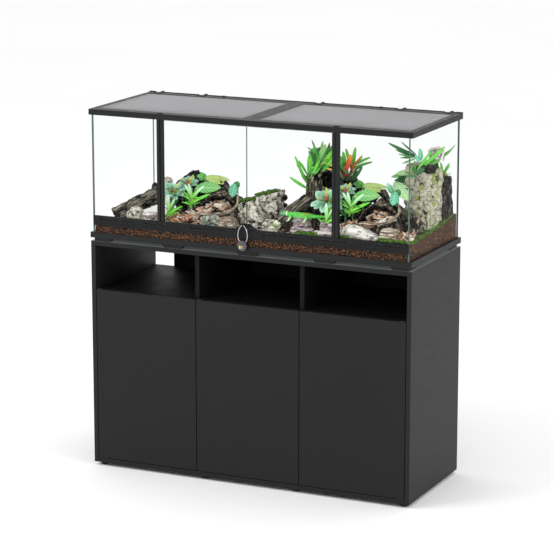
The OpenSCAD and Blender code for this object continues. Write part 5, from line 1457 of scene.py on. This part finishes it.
def gecko():
    nose = Vector((0.097, -0.170, 0.9565))
    ways = [(0, 0, 0), (4, 0, 1), (12, -1, 2.4), (22, -2, 2.8), (30, -2, 1.8), (38, -2, 1), (50, -1, 0), (66, 0, -1),
            (84, 1, -1.6), (102, 3, -1), (114, 4.5, -1), (126, 7, -1.4), (142, 11, -2), (162, 18, -1.6), (186, 28, 0)]
    widths = [1.6, 5.4, 9.0, 10.2, 8.8, 8.6, 11.4, 13.2, 13.4, 12.0, 9.4, 7.4, 6.0, 4.2, 0.9]
    body = trunk("gecko_body", [nose + Vector(w) / 1000 for w in ways], [w / 1000 for w in widths], 1, 90, 28, 0.0003,
                 200.0, 0.0, 40.0, 0.0, 0.82)
    parts = [body]
    for x, s in ((44, -1), (47, 1), (102, -1), (105, 1)):
        hip = nose + Vector((x, 3 * s, -2)) / 1000
        knee = hip + Vector((6, 15 * s, 0)) / 1000
        foot = hip + Vector((-2, 21 * s, -16)) / 1000
        parts.append(trunk(f"gecko_leg_{x}", [hip, knee, foot], [0.0062, 0.0046, 0.0030], 1, 12, 14, 0.0002, 200.0,
                           0.0, 40.0))
        for k in range(5):
            spread = math.radians(-70 + 35 * k)
            tip = foot + Vector((-math.cos(spread) * 6, math.sin(spread) * 5, -1.2)) / 1000
            parts.append(trunk(f"gecko_toe_{x}_{k}", [foot, (foot + tip) / 2 + Vector((0, 0, 0.0006)), tip],
                               [0.0012, 0.0010, 0.0016], 1, 4, 8, 0.0, 200.0, 0.0, 40.0))
    fit(joined("green_gecko", parts), gecko_finish(), ["gecko"])
    eyes = []
    for s in (-1, 1):
        deselect()
        bpy.ops.mesh.primitive_uv_sphere_add(segments=20, ring_count=12, radius=0.0028,
                                             location=nose + Vector((15, -1.2 + 7.3 * s, 6.2)) / 1000)
        eyes.append(settle(added(f"gecko_eye_{s}")))
    pair = joined("gecko_eyes", eyes)
    smooth(pair, 80)
    eye = Finish("gecko_eye", roughness=0.08, specular=0.6)
    eye.colour(eye.ramp(eye.clouds(eye.place(), 500, 2), (0.3, (0.004, 0.004, 0.004)), (0.7, (0.03, 0.02, 0.008))))
    fit(pair, eye.material, ())


gecko()

for shape in [*small_chips, *dry_leaves, *blades.values()]:
    bpy.data.objects.remove(shape)

# ---------------------------------------------------------------- studio


def studio():
    deselect()
    bpy.ops.mesh.primitive_plane_add(size=40, location=(0, 0, -0.0005))
    floor = added("studio_floor")
    paper = Finish("studio_paper", roughness=0.9, specular=0.1)
    paper.colour(paper.ramp(paper.clouds(paper.place(), 0.6, 2), (0.3, (0.86, 0.86, 0.86)),
                            (0.7, (0.88, 0.88, 0.88))))
    floor.data.materials.append(paper.material)
    world = bpy.data.worlds.new("studio_light")
    bpy.context.scene.world = world
    world.use_nodes = True
    world.node_tree.nodes["Background"].inputs["Color"].default_value = (1, 1, 1, 1)
    world.node_tree.nodes["Background"].inputs["Strength"].default_value = 1.12

    def softbox(name, at, aim, size, power):
        light = bpy.data.lights.new(name, "AREA")
        light.shape = "RECTANGLE"
        light.size, light.size_y = size
        light.energy = power
        lamp = bpy.data.objects.new(name, light)
        bpy.context.collection.objects.link(lamp)
        lamp.location = at
        lamp.rotation_euler = (Vector(aim) - Vector(at)).to_track_quat("-Z", "Y").to_euler()

    softbox("key_softbox", (-3.4, -3.6, 4.2), (0, 0, 0.7), (2.6, 2.6), 130)
    softbox("side_softbox", (4.6, -1.2, 2.4), (0.3, 0, 0.7), (2.2, 2.6), 60)
    camera_data = bpy.data.cameras.new("studio_camera")
    camera = bpy.data.objects.new("studio_camera", camera_data)
    bpy.context.collection.objects.link(camera)
    camera_data.sensor_width = 36
    camera_data.lens = 158.44
    camera_data.clip_end = 100
    camera.location = (3.477, -7.466, 2.5505)
    camera.rotation_euler = (math.radians(90 - 12.70), 0, math.radians(24.93))
    bpy.context.scene.camera = camera
    bpy.context.scene.view_settings.view_transform = "Standard"


studio()
